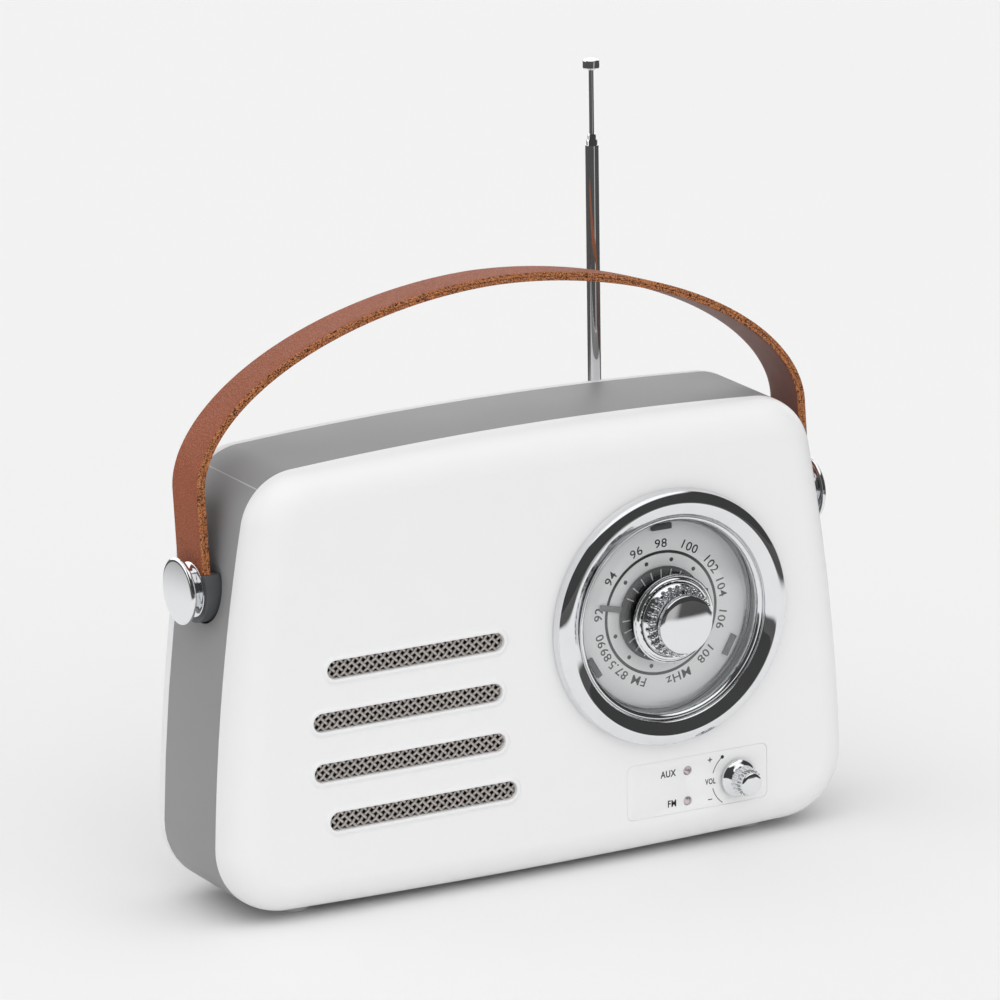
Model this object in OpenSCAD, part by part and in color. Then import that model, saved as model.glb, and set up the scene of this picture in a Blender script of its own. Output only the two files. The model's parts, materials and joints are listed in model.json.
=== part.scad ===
// Tabletop radio with a leather carrying strap, a round tuning dial and a telescopic aerial.
// X runs to the right of the front face, Y runs to the back, Z runs up; the feet stand on Z = 0.
// The case outline is a chain of tangent arcs, and its front and rear shells are rounded off
// along the same outline inset by a growing amount.

/* [Case outline] */
// Height of the case above its feet
case_h = 169.6; // [160:0.2:180]
// Half distance between the centres of the two bottom corners
bottom_half = 105; // [95:1:115]
// Radius of the bottom corners
bottom_r = 26; // [22:1:30]
// Half distance between the centres of the two top corners
top_half = 96; // [88:1:99]
// Radius of the top corners
top_r = 22; // [20:1:26]
// Radius of the slightly bowed sides
side_r = 800; // [600:50:1500]
// Radius of the slightly bowed top
crown_r = 1500; // [1200:100:3000]
// Radius of the slightly bowed underside
belly_r = 4000; // [3000:100:6000]

/* [Case depth] */
// Depth of the front shell
front_d = 14; // [12:0.5:18]
// Depth of the grey middle band
band_d = 41; // [38:0.5:50]
// Depth of the rear shell
rear_d = 14; // [12:0.5:18]
// Width of the rounding round the front and the rear face
edge_r = 14; // [10:0.5:16]
// Squareness of that rounding, where 2 is a plain quarter ellipse
edge_n = 2.2; // [2:0.1:3]
// Thickness of the moulded walls
wall = 2.6; // [2:0.1:3]
// Height of the rubber feet
foot_h = 2.5; // [2:0.5:4]

/* [Speaker slots] */
// Height of each slot
slot_h = 7.1; // [5:0.1:8]
// Distance between slots
slot_pitch = 19.2; // [17:0.1:21]
// Height of the lowest slot above the underside of the case
slot_z = 35.4; // [30:0.2:40]
// Width of the raised lip round each slot
lip_w = 2; // [1:0.1:3]
// Height of the raised lip
lip_h = 0.7; // [0.4:0.1:1]

/* [Dial] */
// Sideways place of the dial's centre
dial_x = 51.6; // [45:0.2:56]
// Height of the dial's centre above the underside of the case
dial_z = 91.6; // [88:0.2:96]
// Outer radius of the chrome bezel
bezel_r = 49.2; // [47:0.2:52]
// How far the bezel stands out of the face
bezel_h = 6; // [4:0.2:8]
// How far the scale plate lies behind the face
scale_recess = 5.6; // [5:0.1:7]
// Radius of the pointer disc
pointer_r = 18.1; // [16:0.1:20]
// Reach of the pointer bar from the centre
pointer_reach = 27; // [24:0.2:30]
// Clockwise angle of the pointer from twelve o'clock
pointer_angle = -77; // [-137:1:135]

/* [Knobs] */
// Radius of the tuning knob's skirt
knob_skirt_r = 17; // [15:0.2:18]
// Radius of the tuning knob's front face
knob_face_r = 11.2; // [9:0.2:12]
// How far the tuning knob stands out of the case face
knob_out = 14.7; // [12:0.1:18]
// Number of knurl beads on the tuning knob
knob_beads = 26; // [20:1:30]
// Sideways place of the volume knob
volume_x = 80.8; // [78:0.2:83]
// Height of the volume knob above the underside of the case
volume_z = 24.4; // [23:0.2:26]
// How far the volume knob stands out of the case face
volume_out = 11.4; // [9:0.1:14]

/* [Handle] */
// Height of the handle's pivots above the underside of the case
pivot_z = 121; // [116:0.5:126]
// Width of the strap
strap_w = 20.6; // [18:0.2:22]
// Thickness of the strap
strap_t = 3.3; // [2.5:0.1:4]
// Height of the straight part of the strap above the pivots
strap_rise = 36; // [30:0.5:40]
// Height of the arch above the straight part
arch_h = 60; // [50:0.5:70]
// Roundness of the arch, where 2 is a plain ellipse
arch_n = 1.87; // [1.8:0.01:2.2]
// Lean of the handle to the back at rest
handle_lean = 5.7; // [0:0.1:8]
// Radius of the chrome pivot caps and of the bosses behind them
cap_r = 12.4; // [11:0.1:13]

/* [Aerial] */
// Sideways place of the aerial
aerial_x = 62.8; // [55:0.2:70]
// Height of the aerial's hinge above the underside of the case
aerial_z = 138; // [130:1:145]
// Length of the outer tube above the hinge
aerial_tube = 116.6; // [100:0.2:130]
// Length of the thin rod that stands out at rest
rod_out = 27; // [10:1:40]

/* [Hidden] */

$fn = 64;
// Room left where one piece only has to slip into another
slip = 0.2;
// Extra length that lets a cutter pass right through a wall
past = 1;

// How far the aerial's centre line lies behind the rear face, and the radius of its hinge ears
aerial_off = 4.5;
ear_r = 4.2;
// Whole depth from the tuning knob's face to the back of the aerial's hinge
depth = knob_out + front_d + band_d + rear_d + aerial_off + ear_r;
face_y = knob_out - depth / 2;
seam_y = face_y + front_d;
rear_seam_y = seam_y + band_d;
back_y = rear_seam_y + rear_d;
scale_y = face_y + scale_recess;

// Centres of the corner arcs and of the side arc
belly_c = [0, belly_r];
bottom_c = [bottom_half, belly_r - sqrt(pow(belly_r - bottom_r, 2) - pow(bottom_half, 2))];
crown_c = [0, case_h - crown_r];
top_c = [top_half, crown_c.y + sqrt(pow(crown_r - top_r, 2) - pow(top_half, 2))];
side_c = circle_cross(bottom_c, side_r - bottom_r, top_c, side_r - top_r);

// Steps along each half of the outline, and round the edge of a shell
belly_steps = 3;
corner_steps = 10;
side_steps = 5;
crown_steps = 5;
edge_steps = 9;

// Left-hand point where a circle round a meets a circle round b
function circle_cross(a, ra, b, rb) =
    let (d = norm(b - a), u = (b - a) / d, k = (ra * ra - rb * rb + d * d) / (2 * d))
    a + k * u + sqrt(ra * ra - k * k) * [-u.y, u.x];

// Direction in degrees from one point to another
function heading(from, to) = atan2(to.y - from.y, to.x - from.x);

// Points on an arc, without the last one
function arc(c, r, from, to, steps) =
    [for (i = [0 : steps - 1]) c + r * [cos(from + (to - from) * i / steps),
        sin(from + (to - from) * i / steps)]];

// Right half of the case outline, inset by d, from the middle of the underside to the top
function half_outline(d) =
    let (a1 = heading(belly_c, bottom_c), a2 = heading(side_c, bottom_c),
        a3 = heading(side_c, top_c), a4 = heading(crown_c, top_c))
    concat(arc(belly_c, belly_r - d, -90, a1, belly_steps),
        arc(bottom_c, bottom_r - d, a1, a2, corner_steps),
        arc(side_c, side_r - d, a2, a3, side_steps),
        arc(top_c, top_r - d, a3, a4, corner_steps),
        arc(crown_c, crown_r - d, a4, 90, crown_steps),
        [[0, case_h - d]]);

// Whole outline, inset by d and lifted onto the feet
function outline(d) =
    let (h = half_outline(d), n = len(h))
    [for (i = [0 : 2 * n - 3]) let (p = i < n ? h[i] : h[2 * n - 2 - i])
        [i < n ? p.x : -p.x, p.y + foot_h]];

// Rings of a rounded edge: inset and share of the depth at each step
function edge_rings(start, width) =
    [for (i = [0 : edge_steps]) let (a = 90 * i / edge_steps)
        [start + width * (1 - pow(cos(a), 2 / edge_n)), pow(sin(a), 2 / edge_n)]];

// Solid that follows the case outline from y_open and rounds off towards y_end
module rounded_block(start, width, y_open, y_seam, y_end) {
    rings = concat([[start, y_open]],
        [for (r = edge_rings(start, width)) [r[0], y_seam + (y_end - y_seam) * r[1]]]);
    loops = [for (r = rings) [for (p = outline(r[0])) [p.x, r[1], p.y]]];
    n = len(loops[0]);
    m = len(loops);
    forward = y_end < y_open;
    sides = [for (j = [0 : m - 2]) for (i = [0 : n - 1])
        let (a = j * n + i, b = j * n + (i + 1) % n, c = a + n, d = b + n)
        each (forward ? [[a, d, b], [a, c, d]] : [[a, b, d], [a, d, c]])];
    near_cap = [for (i = [0 : n - 1]) forward ? i : n - 1 - i];
    far_cap = [for (i = [0 : n - 1]) (m - 1) * n + (forward ? n - 1 - i : i)];
    polyhedron([for (l = loops) each l], concat(sides, [near_cap, far_cap]));
}

// Cylinder along Y from y0 to y1
module rod_y(x, z, r, y0, y1) {
    translate([x, y0, z])
        rotate([-90, 0, 0])
            cylinder(r = r, h = y1 - y0);
}

// Cylinder along X from x0 to x1
module rod_x(y, z, r, x0, x1) {
    translate([x0, y, z])
        rotate([0, 90, 0])
            cylinder(r = r, h = x1 - x0);
}

// Block from one corner to the other
module block(low, high) {
    translate(low)
        cube(high - low);
}

// Solid of revolution about the Y direction through x, z: points are [radius, y]
module turned_y(x, z, points) {
    translate([x, 0, z])
        rotate([-90, 0, 0])
            rotate_extrude()
                polygon(points);
}

// Bar with round ends from x0 to x1 at height z, between y0 and y1
module round_bar(x0, x1, z, h, y0, y1) {
    rod_y(x0 + h / 2, z, h / 2, y0, y1);
    rod_y(x1 - h / 2, z, h / 2, y0, y1);
    block([x0 + h / 2, y0, z - h / 2], [x1 - h / 2, y1, z + h / 2]);
}

// Upright bar with round ends from z0 to z1, between y0 and y1
module upright_bar(x, z0, z1, w, y0, y1) {
    rod_y(x, z0 + w / 2, w / 2, y0, y1);
    rod_y(x, z1 - w / 2, w / 2, y0, y1);
    block([x - w / 2, y0, z0 + w / 2], [x + w / 2, y1, z1 - w / 2]);
}

// Block with four rounded corners seen along Y
module round_block(x0, x1, z0, z1, r, y0, y1) {
    for (x = [x0 + r, x1 - r])
        for (z = [z0 + r, z1 - r])
            rod_y(x, z, r, y0, y1);
    block([x0 + r, y0, z0], [x1 - r, y1, z1]);
    block([x0, y0, z0 + r], [x1, y1, z1 - r]);
}

// ---- Case ----

base_z = foot_h;
dial_cz = base_z + dial_z;
volume_cz = base_z + volume_z;
// Left and right end of each slot, from the lowest up
slot_ends = [[-91, -13.5], [-97, -18], [-97, -19], [-91, -18]];
// Hole that the bezel's neck fits
dial_hole_r = 41;
// Control panel: left, right, bottom, top
panel_x = [33.4, 93.6];
panel_z = [base_z + 14.6, base_z + 35.9];
panel_r = 2.5;
panel_t = 0.8;
led_x = 59.3;
led_zs = [base_z + 18.6, base_z + 30.4];
led_r = 1.7;
shaft_r = 3;
// Screw posts between the two shells
posts = [[-108, base_z + 30], [108, base_z + 30], [-102, base_z + 130], [102, base_z + 130]];
post_r = 4;
screw_r = 1.5;
pilot_r = 1.25;
screw_head_r = 3;
screw_in = 12;

module at_posts() {
    for (p = posts)
        translate([p.x, 0, p.y])
            children();
}

module slots(grow, y0, y1) {
    for (i = [0 : len(slot_ends) - 1])
        round_bar(slot_ends[i][0] - grow, slot_ends[i][1] + grow,
            base_z + slot_z + i * slot_pitch, slot_h + 2 * grow, y0, y1);
}

module front_shell() {
    color("white")
        difference() {
            union() {
                difference() {
                    rounded_block(0, edge_r, seam_y, seam_y, face_y);
                    rounded_block(wall, edge_r - wall, seam_y + past, seam_y, face_y + wall);
                }
                slots(lip_w, face_y - lip_h, face_y + wall);
                at_posts()
                    rod_y(0, 0, post_r, face_y + wall, back_y - wall);
            }
            slots(0, face_y - lip_h - past, face_y + wall + past);
            rod_y(dial_x, dial_cz, dial_hole_r, face_y - past, face_y + wall + past);
            round_block(panel_x[0], panel_x[1], panel_z[0], panel_z[1], panel_r,
                face_y - past, face_y + panel_t);
            rod_y(volume_x, volume_cz, shaft_r + 1, face_y - past, face_y + wall + past);
            for (z = led_zs)
                rod_y(led_x, z, led_r + slip, face_y - past, face_y + wall + past);
            at_posts()
                rod_y(0, 0, pilot_r, back_y - wall - screw_in - past, back_y);
        }
}

// Pockets that the handle's bosses turn in
pivot_cz = base_z + pivot_z;
pivot_y = seam_y + band_d / 2;
pocket_x = 120.6;
pocket_r = cap_r + 0.8;
// Thick pad inside the band behind each pocket
pad_x = 117.4;
pad_r = pocket_r + 2.4;
pin_r = 3;
foot_r = 6;
foot_xs = [-96, 96];
foot_ys = [seam_y + 8, rear_seam_y - 8];
foot_sink = 2.4;

// Prism of the case outline, inset by d, across the depth of the band
module band_prism(d) {
    translate([0, rear_seam_y, 0])
        rotate([90, 0, 0])
            linear_extrude(band_d)
                polygon(outline(d));
}

module middle_band() {
    color([0.52, 0.52, 0.52])
        difference() {
            band_prism(0);
            difference() {
                band_prism(wall);
                for (side = [-1, 1])
                    mirror([side < 0 ? 1 : 0, 0, 0])
                        rod_x(pivot_y, pivot_cz, pad_r, pad_x, pad_x + 10);
            }
            for (side = [-1, 1])
                mirror([side < 0 ? 1 : 0, 0, 0]) {
                    rod_x(pivot_y, pivot_cz, pocket_r, pocket_x, pocket_x + 10);
                    rod_x(pivot_y, pivot_cz, pin_r, pad_x - past, pocket_x + past);
                }
            for (x = foot_xs)
                for (y = foot_ys)
                    translate([x, y, -past])
                        cylinder(r = foot_r + slip, h = past + foot_h + foot_sink);
        }
}

// Battery bay: left, right, bottom, top of the hole in the rear shell
bay_x = [-10, 46];
bay_z = [base_z + 38, base_z + 106];
bay_d = 17;
door_t = 2;
door_lip = 3;
// Socket panel in the rear shell
jack_z = base_z + 40;
jack_xs = [-98, -84, -68];
button_z = base_z + 58;
button_xs = [-98, -84, -70];
button_r = 3.6;
switch_x = -52;
aerial_cz = base_z + aerial_z;
aerial_y = back_y + aerial_off;
swivel_r = 8.5;
swivel_pin_r = 3;
aux_r = 1.8;
power_r = 2.9;
usb_w = 12.2;
usb_h = 4.8;
power_body_r = 4.6;
aux_body_r = 3.2;
switch_w = 9;
switch_h = 5;

// Upright vents behind the loudspeaker
vents = 12;
vent_x = -88;
vent_pitch = 5.6;
vent_w = 2.2;
vent_z = [base_z + 98, base_z + 122];

module rear_shell() {
    color("white")
        difference() {
            rounded_block(0, edge_r, rear_seam_y, rear_seam_y, back_y);
            rounded_block(wall, edge_r - wall, rear_seam_y - past, rear_seam_y, back_y - wall);
            block([bay_x[0], back_y - wall - past, bay_z[0]], [bay_x[1], back_y + past, bay_z[1]]);
            block([bay_x[0] - door_lip, back_y - door_t, bay_z[0] - door_lip],
                [bay_x[1] + door_lip, back_y + past, bay_z[1] + door_lip]);
            at_posts() {
                rod_y(0, 0, screw_r + slip, back_y - wall - past, back_y + past);
                rod_y(0, 0, screw_head_r + slip, back_y - 1.4, back_y + past);
            }
            rod_y(jack_xs[0], jack_z, power_body_r, back_y - wall - past, back_y + past);
            rod_y(jack_xs[1], jack_z, aux_body_r, back_y - wall - past, back_y + past);
            block([jack_xs[2] - usb_w / 2 - 1, back_y - wall - past, jack_z - usb_h / 2 - 1],
                [jack_xs[2] + usb_w / 2 + 1, back_y + past, jack_z + usb_h / 2 + 1]);
            for (x = button_xs)
                rod_y(x, button_z, button_r + 0.35, back_y - wall - past, back_y + past);
            block([switch_x - switch_w / 2, back_y - wall - past, jack_z - switch_h / 2],
                [switch_x + switch_w / 2, back_y + past, jack_z + switch_h / 2]);
            rod_y(aerial_x, aerial_cz, swivel_pin_r + 0.05, back_y - wall - past, back_y + past);
            for (i = [0 : vents - 1])
                upright_bar(vent_x + i * vent_pitch, vent_z[0], vent_z[1], vent_w,
                    back_y - wall - past, back_y + past);
        }
}

module battery_door() {
    gap = 0.35;
    color("white")
        difference() {
            round_block(bay_x[0] - door_lip + gap, bay_x[1] + door_lip - gap,
                bay_z[0] - door_lip + gap, bay_z[1] + door_lip - gap, 2,
                back_y - door_t + gap, back_y);
            // Finger grip grooves under the top edge
            for (i = [0 : 4])
                block([8, back_y - 0.6, bay_z[1] - 3 - i * 1.8],
                    [28, back_y + past, bay_z[1] - 2.2 - i * 1.8]);
        }
}

module speaker_grille() {
    color([0.55, 0.53, 0.5])
        block([-103, face_y + wall, base_z + 26], [-7, face_y + wall + 0.8, base_z + 102]);
}

// ---- Dial ----

bezel_neck_r = 40.8;
ring_r = 39.4;
lens_rim_r = 38.6;
plate_t = 1.2;

module bezel_ring() {
    color([0.85, 0.85, 0.87])
        turned_y(dial_x, dial_cz, [
            [ring_r, scale_y + plate_t], [ring_r, face_y - 1.6], [bezel_r - 7.6, face_y - 4.2],
            [bezel_r - 5.6, face_y - bezel_h + 0.3], [bezel_r - 4.6, face_y - bezel_h],
            [bezel_r - 3.4, face_y - bezel_h + 0.4], [bezel_r - 1.8, face_y - 3.4],
            [bezel_r - 0.6, face_y - 1.4], [bezel_r, face_y - 0.9], [bezel_r, face_y],
            [bezel_neck_r, face_y], [bezel_neck_r, scale_y + plate_t]]);
}

module inner_ring() {
    color([0.8, 0.8, 0.82])
        turned_y(dial_x, dial_cz, [
            [lens_rim_r - 1.8, face_y - 0.4], [lens_rim_r - 1.4, face_y - 2.2],
            [lens_rim_r - 0.2, face_y - 2.8], [ring_r, face_y - 2.2], [ring_r, face_y + 1.2],
            [lens_rim_r, face_y + 1.2], [lens_rim_r, face_y - 0.4]]);
}

module dial_lens() {
    color([0.9, 0.95, 1, 0.35])
        turned_y(dial_x, dial_cz, [
            [4, face_y - 2], [14, face_y - 1.9], [26, face_y - 1.4], [33, face_y - 0.6],
            [36.6, face_y + 0.6], [lens_rim_r, face_y + 1.2], [lens_rim_r, scale_y],
            [36.4, scale_y], [35.6, face_y + 1.4], [32.4, face_y + 0.6], [26, face_y - 0.2],
            [14, face_y - 0.6], [4, face_y - 0.7]]);
}

// Angles of the dark clips that hold the lens, clockwise from twelve o'clock
clip_angles = [0, 120, 240];

module lens_clips() {
    color([0.2, 0.2, 0.2])
        for (a = clip_angles)
            translate([dial_x, 0, dial_cz])
                rotate([0, a, 0])
                    block([-4.2, scale_y - 1.4, 32.2], [4.2, scale_y, 34.4]);
}

module scale_plate() {
    color([0.93, 0.93, 0.93])
        difference() {
            rod_y(dial_x, dial_cz, ring_r, scale_y, scale_y + plate_t);
            rod_y(dial_x, dial_cz, shaft_r + 0.5, scale_y - past, scale_y + 2 * past);
        }
}

module pointer_disc() {
    color([0.1, 0.1, 0.1])
        difference() {
            union() {
                rod_y(dial_x, dial_cz, pointer_r, scale_y - 1.4, scale_y - 0.7);
                translate([dial_x, 0, dial_cz])
                    rotate([0, pointer_angle, 0])
                        block([-1.1, scale_y - 1.3, pointer_r - 4], [1.1, scale_y - 0.8, pointer_reach]);
            }
            rod_y(dial_x, dial_cz, shaft_r, scale_y - 2, scale_y);
        }
}

module knob_skirt() {
    color([0.88, 0.9, 0.92])
        turned_y(dial_x, dial_cz, [
            [shaft_r, face_y - 2.9], [15.6, face_y - 2.9], [knob_skirt_r, face_y - 3.5],
            [knob_skirt_r, face_y - 4.1], [15.2, face_y - 4.9], [shaft_r, face_y - 4.9]]);
}

module tuning_knob() {
    front = face_y - knob_out;
    color([0.85, 0.85, 0.87]) {
        turned_y(dial_x, dial_cz, [
            [shaft_r, face_y - 4.9], [14.2, face_y - 4.9], [13.6, face_y - 6.4],
            [12.4, face_y - 8.6], [11.6, face_y - 10.8], [knob_face_r, front + 2.2],
            [knob_face_r, front + 1.2], [knob_face_r - 1, front + 0.3], [0, front],
            [0, front + 2], [shaft_r, front + 2]]);
        for (i = [0 : knob_beads - 1])
            translate([dial_x, 0, dial_cz])
                rotate([0, i * 360 / knob_beads, 0])
                    rod_y(0, 12.6, 0.95, face_y - 9.8, face_y - 5.4);
    }
}

capacitor_y = scale_y + 16;
board_y = capacitor_y + 13;
board_t = 1.6;

module tuning_shaft() {
    color([0.7, 0.7, 0.72])
        rod_y(dial_x, dial_cz, shaft_r, face_y - knob_out + 2, capacitor_y + 6);
}

module tuning_capacitor() {
    color([0.9, 0.9, 0.85])
        difference() {
            union() {
                block([dial_x - 10, capacitor_y, dial_cz - 10], [dial_x + 10, board_y, dial_cz + 10]);
                rod_y(dial_x, dial_cz, 5, capacitor_y - 3, capacitor_y);
            }
            rod_y(dial_x, dial_cz, shaft_r + 0.05, capacitor_y - 4, capacitor_y + 6.5);
        }
}

// ---- Control panel ----

panel_board_y = face_y + wall + 9;

module control_panel() {
    color([0.96, 0.96, 0.96])
        difference() {
            round_block(panel_x[0] + slip, panel_x[1] - slip, panel_z[0] + slip, panel_z[1] - slip,
                panel_r - slip, face_y + 0.15, face_y + panel_t);
            rod_y(volume_x, volume_cz, shaft_r + 1, face_y - past, face_y + past);
            for (z = led_zs)
                rod_y(led_x, z, led_r + slip, face_y - past, face_y + past);
        }
}

module led(z) {
    color([0.75, 0.6, 0.6])
        turned_y(led_x, z, [[0, face_y - 0.2], [0.9, face_y - 0.05], [led_r, face_y + 0.3],
            [led_r, panel_board_y], [0, panel_board_y]]);
}

module led_lower() {
    led(led_zs[0]);
}

module led_upper() {
    led(led_zs[1]);
}

module panel_board() {
    color([0.1, 0.4, 0.2])
        difference() {
            block([40, panel_board_y, base_z + 11], [96, panel_board_y + board_t, base_z + 40]);
            rod_y(volume_x, volume_cz, shaft_r + 0.6, panel_board_y - past, panel_board_y + 3);
        }
}

module volume_pot() {
    color([0.6, 0.6, 0.62])
        difference() {
            block([volume_x - 8, panel_board_y + board_t, volume_cz - 8],
                [volume_x + 8, panel_board_y + board_t + 9, volume_cz + 8]);
            rod_y(volume_x, volume_cz, shaft_r + 0.05, panel_board_y, panel_board_y + board_t + 6.5);
        }
}

module volume_shaft() {
    color([0.7, 0.7, 0.72])
        rod_y(volume_x, volume_cz, shaft_r, face_y - 8, panel_board_y + board_t + 6);
}

module volume_knob() {
    front = face_y - volume_out;
    ribs = 18;
    color([0.85, 0.85, 0.87]) {
        turned_y(volume_x, volume_cz, [
            [shaft_r, face_y - 0.6], [7.4, face_y - 0.6], [7.4, face_y - 1.6], [6.6, face_y - 2.6],
            [5.3, face_y - 3.6], [4.6, face_y - 6.4], [4.4, front + 1.2], [3.6, front + 0.2],
            [0, front], [0, face_y - 8], [shaft_r, face_y - 8]]);
        for (i = [0 : ribs - 1])
            translate([volume_x, 0, volume_cz])
                rotate([0, i * 360 / ribs, 0])
                    rod_y(0, 4.9, 0.6, face_y - 8.8, face_y - 4);
    }
}

// ---- Handle ----

boss_in = pocket_x + 0.4;
strap_in = 125.2;
boss_out = strap_in + strap_t;
boss_flat = 6.3;
cap_h = 5.1;
tongue_w = 12;
tongue_low = 0.5;
arch_steps = 28;

// Places its children, drawn with the handle upright at the pivots, at the handle's rest lean
module leaned() {
    translate([0, pivot_y, pivot_cz])
        rotate([-handle_lean, 0, 0])
            children();
}

// Arch of half span a and height h above the straight part, from the right to the left
function arch(a, h) =
    [for (i = [0 : arch_steps]) let (t = 180 * i / arch_steps, c = cos(t), s = sin(t))
        [a * sign(c) * pow(abs(c), 2 / arch_n), strap_rise + h * pow(max(s, 0), 2 / arch_n)]];

module handle_strap() {
    outer = arch(strap_in + strap_t, arch_h + strap_t);
    inner = arch(strap_in, arch_h);
    n = len(inner);
    color([0.6, 0.3, 0.17])
        leaned() {
            translate([0, strap_w / 2, 0])
                rotate([90, 0, 0])
                    linear_extrude(strap_w)
                        polygon(concat([[strap_in + strap_t, boss_flat]], outer,
                            [[-strap_in - strap_t, boss_flat], [-strap_in, boss_flat]],
                            [for (i = [0 : n - 1]) inner[n - 1 - i]], [[strap_in, boss_flat]]));
            for (side = [-1, 1])
                block([side > 0 ? strap_in : -boss_out, -tongue_w / 2, tongue_low],
                    [side > 0 ? boss_out : -strap_in, tongue_w / 2, boss_flat]);
        }
}

// Grey boss at the end of the strap, drawn for the right side
module boss() {
    color([0.4, 0.41, 0.42])
        leaned()
            difference() {
                rod_x(0, 0, cap_r, boss_in, boss_out);
                block([boss_in - past, -20, boss_flat], [boss_out + past, 20, 20]);
                block([strap_in, -tongue_w / 2, tongue_low], [boss_out + past, tongue_w / 2, 20]);
                rod_x(0, 0, pin_r + 0.06, boss_in - past, boss_in + 3.6);
            }
}

// Chrome cap on a waisted neck, drawn for the right side
module cap() {
    color([0.88, 0.88, 0.9])
        leaned()
            rotate([0, 90, 0])
                rotate_extrude()
                    polygon([[0, boss_out], [8.6, boss_out], [7.2, boss_out + 0.5],
                        [6, boss_out + 1.3], [6, boss_out + 1.9], [7.6, boss_out + 2.6],
                        [cap_r - 0.6, boss_out + 3], [cap_r, boss_out + 3.4],
                        [cap_r, boss_out + 4.6], [cap_r - 0.5, boss_out + cap_h],
                        [0, boss_out + cap_h]]);
}

module boss_right() {
    boss();
}

module boss_left() {
    mirror([1, 0, 0])
        boss();
}

module cap_right() {
    cap();
}

module cap_left() {
    mirror([1, 0, 0])
        cap();
}

module pivot_pins() {
    color([0.6, 0.6, 0.62])
        for (side = [-1, 1])
            mirror([side < 0 ? 1 : 0, 0, 0]) {
                rod_x(pivot_y, pivot_cz, pin_r, pad_x, boss_in + 3.2);
                rod_x(pivot_y, pivot_cz, 6, pad_x - 2, pad_x);
            }
}

// ---- Aerial ----

ear_gap = 3.4;
ear_t = 1.8;
hinge_pin_r = 1;
tube_r = [2.5, 2.05, 1.55, 0.9];
bore_r = [2.15, 1.65, 1.0];
tube_low = 8;

module aerial_base() {
    color([0.8, 0.8, 0.82])
        difference() {
            union() {
                rod_y(aerial_x, aerial_cz, swivel_r, back_y + 0.3, back_y + 1.5);
                rod_y(aerial_x, aerial_cz, swivel_pin_r, back_y - wall - 0.4, back_y + 0.3);
                rod_y(aerial_x, aerial_cz, 4.6, back_y - wall - 1.9, back_y - wall - 0.4);
                for (side = [-1, 1])
                    translate([aerial_x + side * (ear_gap + ear_t) / 2, 0, 0]) {
                        rod_x(aerial_y, aerial_cz, ear_r, -ear_t / 2, ear_t / 2);
                        block([-ear_t / 2, back_y + 1, aerial_cz - ear_r],
                            [ear_t / 2, aerial_y, aerial_cz + ear_r]);
                    }
            }
            rod_x(aerial_y, aerial_cz, hinge_pin_r, aerial_x - 8, aerial_x + 8);
        }
}

module aerial_pin() {
    reach = ear_gap / 2 + ear_t + 0.6;
    color([0.6, 0.6, 0.62])
        rod_x(aerial_y, aerial_cz, hinge_pin_r, aerial_x - reach, aerial_x + reach);
}

module aerial_tube_1() {
    tongue_t = ear_gap - 0.6;
    color([0.85, 0.85, 0.87])
        difference() {
            union() {
                translate([aerial_x, aerial_y, aerial_cz + 5])
                    cylinder(r = tube_r[0], h = aerial_tube - 5);
                block([aerial_x - tongue_t / 2, aerial_y - 2, aerial_cz],
                    [aerial_x + tongue_t / 2, aerial_y + 2, aerial_cz + 7]);
                rod_x(aerial_y, aerial_cz, 2, aerial_x - tongue_t / 2, aerial_x + tongue_t / 2);
            }
            rod_x(aerial_y, aerial_cz, hinge_pin_r + 0.05, aerial_x - 4, aerial_x + 4);
            translate([aerial_x, aerial_y, aerial_cz + tube_low])
                cylinder(r = bore_r[0], h = aerial_tube);
        }
}

// Telescopic section k, whose top stands out of the section below it
module section(k, low, high) {
    color([0.85, 0.85, 0.87])
        difference() {
            translate([aerial_x, aerial_y, low])
                cylinder(r = tube_r[k], h = high - low);
            translate([aerial_x, aerial_y, low + 2])
                cylinder(r = bore_r[k], h = high - low);
        }
}

tube_top = aerial_cz + aerial_tube;
section_2_top = tube_top + 2.2;
section_3_top = section_2_top + 2;
rod_top = section_3_top + rod_out - 4.2;

module aerial_tube_2() {
    section(1, aerial_cz + tube_low + 2, section_2_top);
}

module aerial_tube_3() {
    section(2, aerial_cz + tube_low + 6, section_3_top);
}

module aerial_rod() {
    color([0.8, 0.8, 0.82])
        translate([aerial_x, aerial_y, aerial_cz + tube_low + 34])
            cylinder(r = tube_r[3], h = rod_top - aerial_cz - tube_low - 34);
}

module aerial_tip() {
    tip_r = 3.1;
    tip_h = 5.6;
    color([0.8, 0.8, 0.82])
        translate([aerial_x, aerial_y, rod_top])
            rotate_extrude()
                polygon([[0, 0], [2.2, 0], [2.5, 1], [tip_r, 1.8], [tip_r, tip_h - 0.5],
                    [tip_r - 0.5, tip_h], [0, tip_h]]);
}

// ---- Inside ----

speaker_x = -55;
speaker_z = base_z + 64;
speaker_r = 37;
speaker_front = face_y + wall + 0.8;
speaker_hole = 32;

module speaker_frame() {
    color([0.15, 0.15, 0.15])
        turned_y(speaker_x, speaker_z, [
            [speaker_r, speaker_front], [speaker_r, speaker_front + 2],
            [speaker_r - 3.4, speaker_front + 2], [24, speaker_front + 15],
            [24, speaker_front + 17], [14, speaker_front + 17], [14, speaker_front + 15.4],
            [22.6, speaker_front + 15.4], [speaker_hole, speaker_front + 2.4],
            [speaker_hole, speaker_front]]);
}

module speaker_magnet() {
    color([0.3, 0.3, 0.32])
        difference() {
            rod_y(speaker_x, speaker_z, 22, speaker_front + 17, speaker_front + 28);
            rod_y(speaker_x, speaker_z, 11, speaker_front + 16, speaker_front + 24);
        }
}

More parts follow.
